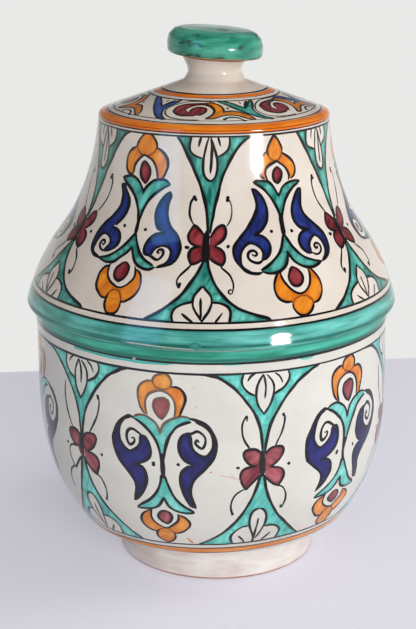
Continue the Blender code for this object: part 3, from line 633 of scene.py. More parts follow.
# Seen at the side, the same filling reaches higher with its tendrils, and its ends are blots
lidSideSpandrel = {
    **lidSpandrel,
    "tendrils": ["-7.4,75.4 -9.8,80 -11.6,85 -12.4,90 -12.2,94.6 -11,98.4", "-8.6,51.7 -10.6,49.3 -13,46.9 -15.4,44.2 -16.6,41.6 "
                 "-16.3,39.2 -15.4,37.6", "8.2,50.2 10.6,48.1 13,45.7 14.6,42.6 15.4,39.2 15.1,36.3 13.8,35",
                 "10,76 12.6,80 14.6,85 15.4,90 15,94.6 13.4,98.2"],
    "thinTendrils": [],
    "blobs": "-11,98 -10.4,96.8 13.2,98 12.8,96.6 -15.4,38.6 -14.9,39.9 13.9,35.6 13.2,36.6",
    "ringBlob": "",
}
jarSideSpandrel = {
    **jarSpandrel,
    "tendrils": ["-8.2,106.2 -11.4,111.8 -13.6,117.6 -14.8,123.4 -15,129 -14.2,133.6",
                 "7,106.4 10.1,111.3 13,116.5 14.8,121.8 15.4,126.8 14.6,130",
                 "-10.6,80.4 -13,79.2 -15.9,76.8 -17.6,73.4 -18.2,70.1 -18.1,67.2 -17.4,64.3",
                 "10,80.6 12.4,79.2 14.1,76.3 15,73 14.8,69.1 13.8,66.2 12.8,64.8"],
    "blobs": "14.4,130 14.8,128.8 13.4,65.2",
}
wornRecipe = [      # laid over the worn motif
    ("wash", "orangeWorn", "lobeLeft petal petalFoot -ringLeft", (0.3, 0.95)),
    ("wash", "maroonWorn", "drop", (0.2, 0.98)),
    ("line", "inkWorn", 0.9, "petalFoot"),
    ("line", "inkWorn", 1.3, "petal lobeLeft drop ring"),
]
strayMarks = {
    "smear": "9.4,41.4 10.6,41 12.4,38.4 13.2,36.4 11.8,36.6 10.6,38.8 9.4,41.4",
    "fleck": "27.7,92.6 28.6,92.9 29,92 28,91.6 27.7,92.6",
    "flushes": ["20.4,133.6 21.6,132.6 21.2,131.4 20.2,131.8 20.4,133.6",
                "19.4,144.6 20.2,144.4 20.2,143.4 19.3,143.5 19.4,144.6",
                "33,91.2 36.4,89.9 40,89.4 43.6,88 45.4,86 43.4,86.8 40.4,88 37,88.6 34.2,89.8 33,91.2",
                "39.4,92 40.6,90.2 42.2,89.2 41,88.9 40,89.8 39.4,92"],
}
strayRecipe = [
    ("wash", "orangeJar", "smear", (0, 1)),
    ("wash", "orangeJar", "fleck", (0, 1)),
    ("spots", "blush", "flushes"),
]
jarSpills = {       # where the green ran under the ring below it, and where that ring is chipped
    "spill": "-60,158.8 -30,158.8 6,158.6 9,158.2 4,156.9 -4,156.6 -12,156.1 -22,156.5 -32,156.2 -46,156.6 -60,156.4",
    "drips": ["33,158.8 48,158.8 46,157.4 38,157.2 33,158.8", "80,158.8 92,158.8 90,156.8 84,156.6 80,158.8"],
    "chip": "-15.4,158.6",
}
lidScratches = {
    "scratch": "-17.5,4.5 -8,4.4 4,4 14,3.6 22.4,3.2",
    "smudge": "19,4.9 20.6,6.4 23,7 25.6,6 27,4.7 24,4 21,4.1 19,4.9",
}
coneScroll = {     # X and Y in plan
    "white": "-5.6,-42.3 -2,-41.6 -3.3,-40.2 -7.2,-39.4 -11,-38.7 -14.8,-38.1 -18.7,-38.3 -22.2,-39 -24.8,-40.2 "
             "-27.3,-41.9 -28.5,-44.6 -28.5,-47.3 -27.7,-50 -26.2,-52.3 -23.7,-54.6 -20.6,-56.5 "
             "-16.8,-58.1 -12.9,-59 -9.1,-59.4 -6,-58.8",
    "disc": "-5.6,-42.3 -8.3,-41.5 -12.2,-41 -16,-40.6 -19.5,-41 -21.8,-41.9 -23,-44.2 -23.7,-46.5 -22.7,-49.2 "
            "-21.2,-51.5 -18.7,-53.3 -15.2,-54.2 -11.4,-54.6 -8.3,-54 -5.6,-51.9 -4.7,-49.6 -5.2,-47.3 -5.6,-43.5",
    "spiralOut": "-16.8,-46.9 -15.2,-45 -12.2,-43.5 -9.1,-43.1 -6,-43.5 -3.3,-45 -1.4,-47.3 -.4,-50.4 "
                 "-1,-53.5 -2.9,-56.2 -5.2,-58.1",
    "spiralIn": "-9.5,-55 -8.3,-54.2 -5.6,-51.9 -4.7,-49.6 -5.2,-47.3 -7.2,-46 -9.8,-45.4 -12.5,-46.3 -13.9,-48.5 -14.8,-50.2",
    "discEdge": "-2.2,-41.5 -5.6,-41.9 -8.3,-41.5 -12.2,-41 -16,-40.6 -19.5,-41 -21.8,-41.9 -23,-44.2 -23.7,-46.5 "
                "-22.7,-49.2 -21.2,-51.5 -18.7,-53.3 -15.2,-54.2 -11.4,-54.6",
    "ringOut": ".2,-41.2 -3.3,-40.2 -7.2,-39.4 -11,-38.7 -14.8,-38.1 -18.7,-38.3 -22.2,-39 -24.8,-40.2 -27.3,-41.9 -28.5,-44.6 "
               "-28.5,-47.3 -27.7,-50 -26.2,-52.3 -23.7,-54.6 -20.6,-56.5 -16.8,-58.1 -12.9,-59 -9.1,-59.6",
    "leafLeft": "-5.6,-42.3 -3.3,-43.8 -1.4,-46.2 -.2,-49.2 -.2,-51.9 -1.4,-55 -3.3,-57.3 -5.2,-58.7",
    "leafLow": "-5.2,-58.9 -1.4,-58.8 1.3,-57.7 4.4,-55.8 7.5,-54.6 10.9,-54.2 14,-54.6 17.8,-55.8 20.9,-56.5 23.6,-56.5",
    "leafTop": "23.6,-56 20.9,-53.1 17.8,-51.5 14,-50 10.2,-49.6 7.1,-50.4 5.2,-51.5! 5.3,-50.4 4.8,-47.3 "
               "3.2,-44.6 .9,-42.7 -2.2,-41.5 -5.6,-41.9",
    "halfLeaf": "4.8,-59.6 6.3,-58.1 8.6,-56.9 11.7,-56.5 14.4,-57.1 16.7,-58.7 18.6,-59",
    "forkLow": ".9,-39.2 4,-41.5 7.1,-43.5 10.2,-45.8 14,-48.1 17.8,-50 21.7,-51.5 25.5,-52.7 29.4,-53.1 34,-52",
    "forkSide": "34,-50.6 31.3,-50.8 27.8,-50 24.8,-48.1 22.8,-45.8 22.1,-43.1 22.1,-40 22,-36.9 21.3,-33.3",
    "forkIn": "21.3,-33.3 19.8,-36.2 19,-39.2 18.6,-42.3 17.8,-44.8! 14,-43.1 11.3,-41.5 8.2,-40.2 4.4,-39 .9,-39.2",
    "notch": "18.4,-36.4 18,-39.5 17.6,-43.8",
    "tick": "14,-38.1 14.6,-39.2 15.2,-40.4",
    "blobs": "5.6,-59.2 6.4,-58.5 17,-58.9",
    "dots": "7.3,-47.1",
}
forkRecipe = [
    ("wash", "fork", "forkLow forkSide forkIn", (0.8, -0.6)),
    ("line", "ink", 1.2, "forkLow forkSide forkIn"),
    ("line", "ink", 2.0, "notch"),
    ("line", "ink", 0.9, "tick"),
]
scrollRecipe = [
    ("wash", "ground", "white", (1, 0)),
    ("wash", "maroon", "disc", (0.3, 0.95)),
    ("wash", "ground", "spiralOut spiralIn", (1, 0)),
    ("wash", "orange", "leafLeft leafLow leafTop", (0.8, 0.6)),
    ("line", "ink", 1.2, "discEdge spiralOut spiralIn leafLow leafTop leafLeft halfLeaf"),
    ("line", "inkThin", 1.0, "ringOut"),
    ("dots", "ink", 0.95, "blobs dots"),
]


def loosen(points, rng, amount):
    # The same motif is never drawn twice alike
    x, t = points[:, 0], points[:, 1]
    a = rng.uniform(0, 6, 4)
    return points + amount * np.stack([np.sin(t / 19 + a[0]) + 0.5 * np.sin(t / 8 + a[1]),
                                       np.sin(x / 15 + a[2]) + 0.5 * np.sin(t / 12 + a[3])], 1)


def drawUnit(painting, place, trails, recipe, seed, colours, amount=0.35, nudges=((0, 0, 0),)):
    rng = np.random.default_rng(seed)
    steady = np.random.default_rng(seed + 1)
    levels, right, up = zip(*sorted(nudges))
    shape = steady.integers(1 << 30)

    def move(points):
        moved = points + np.stack([np.interp(points[:, 1], levels, right), np.interp(points[:, 1], levels, up)], 1)
        return place(loosen(moved, np.random.default_rng(shape), amount))

    def find(names):
        found = []
        for name in names.split():
            text = trails[name.lstrip("-")]
            if text and text[0] == "@":         # a trail made of others
                found += find(text[1:])
                continue
            for part in text if isinstance(text, list) else [text] if text else []:
                path = smoothTrail(part)
                found.append(path[::-1] if name[0] == "-" else path)
        return found

    for kind, colour, *rest in recipe:
        colour = colours.get(colour, colour)
        if kind == "wash":
            names, flow = rest
            painting.add(move(np.vstack(find(names))), colour, flow, 1.0 if colour not in plainColours else 0.0,
                         rng.uniform(-0.05, 0.05))
        elif kind == "spots":
            for path in find(rest[0]):
                painting.add(move(path), colour, (1, 0), 0.0)
        elif kind == "line":
            width, names = rest
            for path in find(names):
                stroke = brushStroke(path, width * rng.uniform(0.92, 1.08), (0.6, 0.5), rng)
                painting.add(move(stroke), colour, (0, 1), lineWash)
        else:
            radius, names = rest
            for name in names.split():
                for x, t in trail(trails[name])[0]:
                    turn = np.arange(10) * fullTurn / 10
                    blob = np.stack([x + radius * np.cos(turn) * rng.uniform(0.8, 1.2, 10),
                                     t + radius * np.sin(turn) * rng.uniform(0.8, 1.2, 10)], 1)
                    painting.add(move(blob), colour, (0, 1), lineWash)


plainColours = ("lidGround", "jarGround")
# Where the jar's motif to the right departs from the left one: height, then the shift right and up
jarLift = ((100, 0, 0), (125, 0, 1.0))         # the upper half of the other motifs sits a little higher
jarRightShifts = ((151, 1.3, 1.6), (141, 1.3, 1.4), (123, 1.8, 1.0), (114, 1.9, -0.5), (95, -1.6, -2.2), (75, 0.2, 1.7),
                  (64, -1.4, 2.0), (58, -1.3, 2.9), (49, -0.4, 3.9), (42, -0.5, 2.1), (35, -0.5, 2.5))


def onSide(painting, degrees, tilt=0.0, readAt=0.0):
    # Places a motif round the wall; near the foot the jar's lines run a little out of true
    def place(points):
        angle = math.radians(degrees) + points[:, 0] / painting.radiusAt(points[:, 1])
        t = points[:, 1] + tilt * (np.sin(angle) - np.sin(angle - math.radians(degrees - readAt))) \
            * np.clip((90 - points[:, 1]) / 50, 0, 1)
        return np.stack([angle * flatRadius, t], 1)
    return place


def onCone(painting, degrees):
    def place(points):
        angle = np.arctan2(points[:, 0], -points[:, 1]) + math.radians(degrees)
        t = painting.heightToLength(np.hypot(points[:, 0], points[:, 1]), *coneSpan)
        return np.stack([angle * flatRadius, t], 1)
    return place


# The flat sheet of a whole form, bent round its section by Geometry Nodes

bakeLayout = {          # parts of the square map that keeps the baked colours
    "margin": 0.012,
    "halfWidth": 0.765,         # the painted band lies in two half turns, one above the other
    "halfHeight": 0.47,
    "restLeft": 0.80,           # the plain strips share a column beside them
    "restWidth": 0.188,
}


def bakeChart(where, centre, x, s):
    # A place in the square map for a corner at angle x and length s; where: (kind, start, end, low, high)
    kind, start, end, low, high = where
    share = (s - start) / (end - start)
    edge, wide = bakeLayout["margin"], 1 - 2 * bakeLayout["margin"]
    if kind == "whole":
        return edge + (x / fullTurn + 0.5) * wide, edge + share * wide
    if kind == "rest":
        return bakeLayout["restLeft"] + (x / fullTurn + 0.5) * bakeLayout["restWidth"], low + share * (high - low)
    back = abs(centre) > math.pi / 2
    turn = x - math.copysign(math.pi, centre) if back else x
    return (edge + (turn / math.pi + 0.5) * (bakeLayout["halfWidth"] - edge),
            edge + back * 0.5 + share * bakeLayout["halfHeight"])


def flatSheet(name, outline, reference, painting, zones, band, strips):
    spots, faces, colours, pales, brush, rims, charts = [], [], [], [], [], [], []

    def zoneAt(s):
        return next(zone[1:] for zone in zones if s < zone[0])

    def addFaces(points, corners, top, rim, where):
        base = sum(len(p) for p in spots)
        spots.append(points)
        rims.append(rim)
        centre = points[corners].mean(1) if len(corners) else np.zeros((0, 2))
        for k, corner in enumerate(corners):
            faces.append([base + int(c) for c in corner])
            shape = painting.shapes[top[k]] if top is not None and top[k] >= 0 else None
            if shape:
                colour, glazed = shape["colour"], 1.0
                flow, seed, wash, tint = shape["flow"], shape["seed"], shape["wash"], shape["tint"]
            else:
                colour, glazed, wash = zoneAt(centre[k][1])
                flow, seed, tint = None, 0, 0.0
            deep, pale = linearPaint[colour]
            grow = 1 + tint
            for c in corner:
                angle, t = points[c][0], reference - points[c][1]
                x = angle * flatRadius
                charts.extend(bakeChart(where, centre[k][0], *points[c]))
                colours.extend((deep[0] * grow, deep[1] * grow, deep[2] * grow, glazed))
                pales.extend((pale[0] * grow, pale[1] * grow, pale[2] * grow, wash))
                if flow:
                    brush.extend((x * flow[1] - t * flow[0], x * flow[0] + t * flow[1], seed * seedStep))
                else:       # brushed as the pot turned: long streaks that close at the back
                    brush.extend((t, ringReach * math.sin(angle),
                                  seed * seedStep + ringReach * 0.055 * math.cos(angle)))

    if band:
        flat, corners, top, rim = paintedBand(painting, band[0], band[1])
        points = np.stack([flat[:, 0] / flatRadius, reference - flat[:, 1]], 1)
        addFaces(points, corners, top, rim, ("band", reference - band[0], reference - band[1], 0, 0))
    angle = np.linspace(-math.pi, math.pi, columns + 1)
    whole, low = sum(end - start for start, end, _ in strips), bakeLayout["margin"]
    for start, end, widest in strips:
        high = low + (1 - 2 * bakeLayout["margin"]) * (end - start) / whole
        rows = outline.rows(start, end, widest)
        points = np.array([(a, s) for s in rows for a in angle])
        wide = columns + 1
        corners = [(j * wide + k, (j + 1) * wide + k, (j + 1) * wide + k + 1, j * wide + k + 1)
                   for j in range(len(rows) - 1) for k in range(columns)]
        addFaces(points, np.array(corners), None, np.full(len(points), 9.0),
                 ("rest" if band else "whole", start, end, low, high - bakeLayout["margin"]))
        low = high
    points = np.vstack(spots)
    mesh = bpy.data.meshes.new(name)
    mesh.from_pydata([(a, s * mm, 0) for a, s in points], [], faces)
    for title, kind, place, slot, values in (("paint", "FLOAT_COLOR", "CORNER", "color", colours),
                                             ("thin", "FLOAT_COLOR", "CORNER", "color", pales),
                                             ("brush", "FLOAT_VECTOR", "CORNER", "vector", brush),
                                             ("rim", "FLOAT", "POINT", "value", np.concatenate(rims)),
                                             ("along", "FLOAT", "POINT", "value", points[:, 1])):
        mesh.attributes.new(title, kind, place).data.foreach_set(slot, np.array(values, np.float32))
    mesh.uv_layers.new(name="OFBake").data.foreach_set("uv", np.array(charts, np.float32))
    return mesh


linearPaint = {name: (linearColour(a), linearColour(b)) for name, (a, b) in glazeColours.items()}


class NodeMaker:
    # Adds nodes to a tree: settings first, then values or links of the sockets
    def __init__(self, tree):
        self.tree = tree

    def add(self, kind, settings=None, **values):
        node = self.tree.nodes.new(kind)
        for key, value in (settings or {}).items():
            setattr(node, key, value)
        for key, value in values.items():
            socket = node.inputs[int(key[1:])] if key[0] == "_" else node.inputs[key.replace("_", " ")]
            self.feed(socket, value)
        return node

    def feed(self, socket, value):
        if isinstance(value, Socket):
            value = value.socket
        if isinstance(value, bpy.types.NodeSocket):
            self.tree.links.new(value, socket)
        else:
            socket.default_value = value

    def value(self, socket):
        return Socket(self, socket)

    def noise(self, place, scale, detail, roughness=0.5):
        node = self.add("ShaderNodeTexNoise", Vector=place, Scale=scale, Detail=detail, Roughness=roughness)
        return Socket(self, node.outputs["Fac"])

    def stretchedNoise(self, place, scales, detail, roughness=0.5):
        spread = self.add("ShaderNodeMapping", Vector=place, Scale=scales)
        return self.noise(spread.outputs[0], 1.0, detail, roughness)

    def blend(self, share, first, second):
        # Mixes two colours, each a socket or three linear values
        first, second = ((*c, 1) if isinstance(c, list) else c for c in (first, second))
        return self.add("ShaderNodeMix", {"data_type": "RGBA"}, _0=share, _6=first, _7=second).outputs[2]


class Socket:
    # A value in a node tree that can be written in sums
    def __init__(self, maker, socket):
        self.maker, self.socket = maker, socket

    def maths(self, operation, other, swap=False, clamp=False):
        pair = (other, self) if swap else (self, other)
        node = self.maker.add("ShaderNodeMath", {"operation": operation, "use_clamp": clamp}, _0=pair[0], _1=pair[1])
        return Socket(self.maker, node.outputs[0])

    def __add__(self, other):
        return self.maths("ADD", other)

    def __sub__(self, other):
        return self.maths("SUBTRACT", other)

    def __rsub__(self, other):
        return self.maths("SUBTRACT", other, swap=True)

    def __mul__(self, other):
        return self.maths("MULTIPLY", other)

    def __truediv__(self, other):
        return self.maths("DIVIDE", other)

    __radd__, __rmul__ = __add__, __mul__

    def clamp(self):
        return self.maths("ADD", 0.0, clamp=True)


def formTree():
    # Bends a flat sheet (x: angle, y: length along the section) round the section of a turned form
    tree = bpy.data.node_groups.new("turned form", "GeometryNodeTree")
    face = tree.interface
    face.new_socket("Sheet", in_out="INPUT", socket_type="NodeSocketGeometry")
    face.new_socket("Section", in_out="INPUT", socket_type="NodeSocketObject")
    for title in ("Lean", "Pivot height", "Tilt", "Tilt from", "Tilt over", "Drop", "Slide", "Weld"):
        face.new_socket(title, in_out="INPUT", socket_type="NodeSocketFloat")
    face.new_socket("Finish", in_out="INPUT", socket_type="NodeSocketMaterial")
    face.new_socket("Form", in_out="OUTPUT", socket_type="NodeSocketGeometry")
    maker = NodeMaker(tree)
    value = maker.value
    given = maker.add("NodeGroupInput").outputs
    flat = maker.add("ShaderNodeSeparateXYZ", Vector=maker.add("GeometryNodeInputPosition").outputs[0]).outputs
    section = maker.add("GeometryNodeObjectInfo", {"transform_space": "ORIGINAL"}, Object=given["Section"])
    sample = maker.add("GeometryNodeSampleCurve", {"mode": "LENGTH"}, Curves=section.outputs["Geometry"],
                       Length=flat[1])
    spot = maker.add("ShaderNodeSeparateXYZ", Vector=sample.outputs["Position"]).outputs
    radius, height, angle = value(spot[0]), value(spot[2]), value(flat[0])
    share = ((height - value(given["Tilt from"])) / value(given["Tilt over"])).clamp()
    x = radius * angle.maths("SINE", 0.0) + value(given["Lean"]) * (height - value(given["Pivot height"])) \
        + share * value(given["Slide"])
    y = radius * angle.maths("COSINE", 0.0) * -1.0
    z = height - share * (x * value(given["Tilt"]) + value(given["Drop"]))
    turned = maker.add("ShaderNodeCombineXYZ", X=x, Y=y, Z=z).outputs[0]
    placed = maker.add("GeometryNodeSetPosition", Geometry=given["Sheet"], Position=turned)
    welded = maker.add("GeometryNodeMergeByDistance", Geometry=placed.outputs[0], Distance=given["Weld"])
    real = maker.add("GeometryNodeRealizeInstances", Geometry=welded.outputs[0])
    done = maker.add("GeometryNodeSetMaterial", Geometry=real.outputs[0], Material=given["Finish"])
    maker.add("NodeGroupOutput", Form=done.outputs[0])
    return tree


turnedFormTree = formTree()


def sectionCurve(outline):
    curve = bpy.data.curves.new("section", "CURVE")
    curve.dimensions = "3D"
    spline = curve.splines.new("POLY")
    spline.points.add(len(outline.s) - 1)
    for point, r, z in zip(spline.points, outline.r, outline.z):
        point.co = (r * mm, 0, z * mm, 1)
    holder = bpy.data.objects.new("section", curve)
    bpy.context.scene.collection.objects.link(holder)
    return holder


def turnForm(name, sheet, outline, finish, settings):
    piece = bpy.data.objects.new(name, sheet)
    bpy.context.scene.collection.objects.link(piece)
    holder = sectionCurve(outline)
    modifier = piece.modifiers.new("turned form", "NODES")
    modifier.node_group = turnedFormTree
    inputs = {"Section": holder, "Finish": finish, "Lean": 0.0, "Pivot height": 0.0, "Tilt": 0.0,
              "Tilt from": 0.0, "Tilt over": 1.0, "Drop": 0.0, "Slide": 0.0, "Weld": 0.004 * mm, **settings}
    for item in turnedFormTree.interface.items_tree:
        if item.name in inputs:
            modifier[item.identifier] = inputs[item.name]
    bpy.context.view_layer.update()
    depsgraph = bpy.context.evaluated_depsgraph_get()
    plain = bpy.data.meshes.new_from_object(piece.evaluated_get(depsgraph), preserve_all_data_layers=True,
                                            depsgraph=depsgraph)
    piece.modifiers.clear()
    piece.data = plain
    plain.name = name
    bpy.data.objects.remove(holder)
    plain.shade_smooth()
    giveNormals(plain, outline, inputs["Lean"], inputs["Pivot height"], inputs["Tilt"])
    print(name, "has", sum(len(p.vertices) - 2 for p in plain.polygons), "triangles")
    return piece


def giveNormals(mesh, outline, lean, pivot, tilt):
    # Long thin triangles shade badly with averaged normals, so each point gets the section's own
    count = len(mesh.vertices)
    spots, along = np.empty(count * 3, np.float32), np.empty(count, np.float32)
    mesh.vertices.foreach_get("co", spots)
    mesh.attributes["along"].data.foreach_get("value", along)
    spots = spots.reshape(-1, 3).astype(float)
    across, up = outline.outward(along.astype(float))
    angle = np.arctan2(spots[:, 0] - lean * (spots[:, 2] - pivot), -spots[:, 1])
    normals = np.stack([across * np.sin(angle), -across * np.cos(angle), up - lean * across * np.sin(angle)], 1)
    normals[:, 0] += tilt * normals[:, 2]
    normals /= np.linalg.norm(normals, axis=1)[:, None]
    mesh.normals_split_custom_set_from_vertices(normals.tolist())


# Materials

def newMaterial(name):
    material = bpy.data.materials.new(name)
    material.use_nodes = True
    material.node_tree.nodes.clear()
    return material, NodeMaker(material.node_tree)


glazeFinish = {
    "gloss": 0.095,                     # roughness of the fired glaze
    "unevenGloss": 0.05,
    "bareRoughness": 0.82,
    "refraction": 1.52,
    "streakGrain": (0.5, 0.07, 1.0),    # across, along and between the strokes of a wash
    "poolGrain": (0.15, 0.06, 1.0),
    "streaks": 1.25,                    # how far streaks and pools take a wash from deep to thin
    "pools": 2.3,
    "thinness": 0.54,                   # where a wash lies on average, from deep (0) to thin (1)
    "mottleGrain": 34.0,                # the plain glaze between the strokes changes like this
    "mottle": 2.2,
    "edgeWidth": 0.9,                   # a wash lies deep along its lines: the more, the narrower
    "edgeDepth": 0.7,                   # and how much deeper
    "speck": (150, 122, 104),
    "speckGrain": 420.0,
    "speckSharpness": 7.0,
    "speckChance": 0.93,                # the share of places that stay without one
    "speckShown": 0.45,
    "bump": 0.20,                       # its strength, then what each kind of unevenness puts into it
    "rippleGrain": (9.0, 9.0, 130.0),
    "ripple": 0.30,
    "swellGrain": 26.0,
    "swell": 1.1,
    "skinGrain": 650.0,
    "skin": 0.018,
    "pinhole": 0.05,
    "paintRelief": 0.02,
}


def paintedGlaze(name, values):
    material, maker = newMaterial(name)
    value = maker.value

    def attribute(title):
        return maker.add("ShaderNodeAttribute", {"attribute_name": title}).outputs

    place = maker.add("ShaderNodeTexCoord").outputs["Object"]
    paint, thin, brush, rim = attribute("paint"), attribute("thin"), attribute("brush"), value(attribute("rim")["Fac"])
    glazed, wash = value(paint["Alpha"]), value(thin["Alpha"])
    # Brush streaks run along the stroke, and washes pool against the lines
    streaks = maker.stretchedNoise(brush["Vector"], values["streakGrain"], 3.0, 0.6)
    pools = maker.stretchedNoise(brush["Vector"], values["poolGrain"], 2.0, 0.45)
    streak = ((streaks - 0.5) * values["streaks"] + (pools - 0.5) * values["pools"] + values["thinness"]).clamp()
    mottle = maker.noise(place, values["mottleGrain"], 4.0, 0.55)
    plain = ((mottle - 0.5) * values["mottle"] + 0.5).clamp()
    edge = (1.0 - rim * values["edgeWidth"]).clamp()
    share = (streak * wash + plain * (1.0 - wash)) * (1.0 - edge * wash * values["edgeDepth"])
    colour = maker.blend(share, paint["Color"], thin["Color"])
    # Specks and pinholes in the tin glaze
    cells = maker.add("ShaderNodeTexVoronoi", {"feature": "F1"}, Vector=place, Scale=values["speckGrain"]).outputs
    chance = value(maker.add("ShaderNodeSeparateXYZ", Vector=cells["Color"]).outputs[0])
    speck = (1.0 - value(cells["Distance"]) * values["speckSharpness"]).clamp() \
        * chance.maths("GREATER_THAN", values["speckChance"])
    specked = maker.blend(speck * values["speckShown"] * (1.0 - wash), colour, linearColour(values["speck"]))
    # The bump: ripples left by the fingers on the wheel, and the skin of the glaze
    ripple = maker.stretchedNoise(place, values["rippleGrain"], 2.0)
    swell = maker.noise(place, values["swellGrain"], 1.0)
    skin = maker.noise(place, values["skinGrain"], 2.0)
    height = ripple * values["ripple"] + swell * values["swell"] + skin * values["skin"] - speck * values["pinhole"] \
        + (rim * 1.2).clamp() * values["paintRelief"] * (1.0 - wash * 0.5)
    rough = glazed * (values["gloss"] + (plain - 0.5) * values["unevenGloss"]) \
        + (1.0 - glazed) * values["bareRoughness"]
    return glossy(material, maker, specked, rough, height, values)


def glossy(material, maker, colour, rough, height, values):
    bump = maker.add("ShaderNodeBump", Strength=values["bump"], Distance=1.0 * mm, Height=height)
    shader = maker.add("ShaderNodeBsdfPrincipled", Base_Color=colour, Roughness=rough, Normal=bump.outputs[0],
                       IOR=values["refraction"])
    maker.add("ShaderNodeOutputMaterial", Surface=shader.outputs[0])
    return material


knobFinish = {
    "glaze": ((18, 114, 90), (86, 186, 158)),
    "bareClay": ((164, 100, 68), (206, 162, 122)),
    "smudge": (30, 50, 44),
    "gloss": 0.14,
    "smudgeRoughness": 0.2,      # added to the gloss
    "bareRoughness": 0.8,
    "refraction": 1.52,
    "bump": 0.25,
    "broadGrain": 45.0,
    "fineGrain": 240.0,
    "strandGrain": (60.0, 60.0, 260.0),
    "smudgeGrain": (110.0, 110.0, 330.0),
    "smudgesBelow": 3.6,               # mm above the lip; the dark smudges gather below this height
    "smudgeCutoff": 0.595,           # the more, the fewer smudges
    "tilt": 0.07,                # the cap sits askew
    "drop": 1.6 * mm,
    "lip": 318.15 * mm,          # its lower edge, before it is tilted
    "clay": 1.0,                 # mm of bare clay above the lip
}


def knobGlaze(name, values):
    material, maker = newMaterial(name)
    place = maker.add("ShaderNodeTexCoord").outputs["Object"]
    across = maker.add("ShaderNodeSeparateXYZ", Vector=place).outputs
    # Millimetres above the lip
    above = (maker.value(across[2]) + maker.value(across[0]) * values["tilt"] + (values["drop"] - values["lip"])) / mm
    broad, fine = maker.noise(place, values["broadGrain"], 3.0), maker.noise(place, values["fineGrain"], 3.0)
    strands = maker.stretchedNoise(place, values["strandGrain"], 2.0)
    share = ((strands - 0.5) * 1.8 + (broad - 0.5) * 1.4 + 0.5).clamp()
    green = maker.blend(share, *(linearColour(c) for c in values["glaze"]))
    near = ((values["smudgesBelow"] - above) * 0.5).clamp()
    marks = maker.stretchedNoise(place, values["smudgeGrain"], 3.0)
    smudge = ((marks + near * 0.09 - values["smudgeCutoff"]) * 14.0).clamp() * ((fine - 0.36) * 6.0).clamp()
    smudged = maker.blend(smudge * 0.85, green, linearColour(values["smudge"]))
    bare = ((values["clay"] - above + (broad - 0.5) * 3.0 + (fine - 0.5) * 1.0) * 2.4).clamp()
    clay = maker.blend(fine, *(linearColour(c) for c in values["bareClay"]))
    colour = maker.blend(bare, smudged, clay)
    rough = (1.0 - bare) * (values["gloss"] + smudge * values["smudgeRoughness"]) + bare * values["bareRoughness"]
    return glossy(material, maker, colour, rough, broad * 0.8 + fine * 0.05, values)


lidFinish = paintedGlaze("lid glaze", glazeFinish)
jarFinish = paintedGlaze("jar glaze", glazeFinish)
capFinish = knobGlaze("knob glaze", knobFinish)

# The lid

lidValues = {
    # The rolled edge: beyond this radius and below this height, then its points from the top round to the underside
    "lip": ((112.02, 177.0), (113.3, 174.0), (114.1, 171.0), (114.72, 168.8), (114.95, 167.9), (114.9, 167.3),
            (114.55, 166.75), (113.9, 166.3), (113.0, 165.95), (112.1, 165.82)),
    "lipTop": (111.9, 177.6),   # lengths up the outside count from an edge this far below the top of the lip
    "lipLength": 13.9,
    "lean": 0.0149,             # it was thrown a little off true
    "pivot": 170.0 * mm,
    "band": (-2.0, 184.0),
}
lidLine = Outline("lid", lidValues["lip"])
lidPaint = Painting(lidLine, lidLine.nearest(*lidValues["lipTop"]) + lidValues["lipLength"])


def coneLength(radius):
    return float(lidPaint.heightToLength(radius, *coneSpan))


lidColours = {"ground": "lidGround", "crownInk": "ink"}
for seed, angle in enumerate((-62, 58, 118, 178, 238, -2)):
    trails, amount = (lidSpandrel, 0.12) if angle == -2 else (lidSideSpandrel, 0.35)
    drawUnit(lidPaint, onSide(lidPaint, angle), trails, spandrelRecipe, 100 + seed, lidColours, amount)
for seed, (angle, right, amount) in enumerate(((-31, False, 0.05), (29.5, True, 0.05), (-91, True, 0.3),
                                               (89, False, 0.4), (149, True, 0.4), (209, False, 0.4))):
    trails = lidMotifRight if right else lidMotif
    drawUnit(lidPaint, onSide(lidPaint, angle), trails, motifRecipe, 140 + seed, lidColours, amount)
lidPaint.ring(-1.4, 14.0, "rimGreen", 0.3)
# The darker green ring is painted shade along the band, and the paler ring below it is a painted highlight along a
# ridge
lidPaint.ring(4.2, 5.6, "rimGreenDark", 0.5, seed=20)
lidPaint.ring(1.9, 2.5, "rimGreenHighlight", 0.5, seed=21)
lidPaint.ring(-1.2, 0.5, "worn", 0.25, seed=22)
drawUnit(lidPaint, onSide(lidPaint, -16), lidScratches,
         [("wash", "rimGreenDark", "smudge", (1, 0)), ("line", "worn", 0.5, "scratch")], 170, lidColours, 0.0)
lidPaint.ring(14.3, 18.2, "lidGround", 0.1)
lidPaint.ring(13.6, 14.9, "ink", 0.2, seed=1)
lidPaint.ring(17.5, 18.8, "ink", 0.2, seed=2)
lidPaint.ring(124.8, 129.0, "lidGround", 0.1)
lidPaint.ring(124.3, 125.4, "ink", 0.2, seed=3)
discAngles = (-84.4, -14.4, 46.9, 104.1, 161.2, 218.4)
for k, angle in enumerate(discAngles):
    forkTurn = discAngles[(k + 1) % 6] - 46.9
    drawUnit(lidPaint, onCone(lidPaint, forkTurn), coneScroll, forkRecipe, 180 + k,
             {"fork": "cobaltPale" if k % 2 == 0 else "teal"}, 0.1)
    drawUnit(lidPaint, onCone(lidPaint, angle + 14.4), coneScroll, scrollRecipe, 190 + k, lidColours, 0.1)
lidPaint.ring(126.7, coneLength(65.4), "orangeBand", 0.25, seed=11)
lidPaint.ring(126.2, 127.0, "ink", 0.15, seed=4)
lidPaint.ring(128.0, 128.4, "orangeLine", 0.2, seed=10)
for seed, (outer, inner, colour) in enumerate(((65.2, 64.2, "ink"), (61.5, 60.8, "ink"),
                                               (39.8, 38.7, "ink"), (36.7, 36.2, "inkThin"),
                                               (36.1, 33.0, "orangeBand"), (32.8, 31.3, "ink"))):
    lidPaint.ring(coneLength(outer), coneLength(inner), colour, 0.25, seed=12 + seed)

lidRef = lidPaint.reference
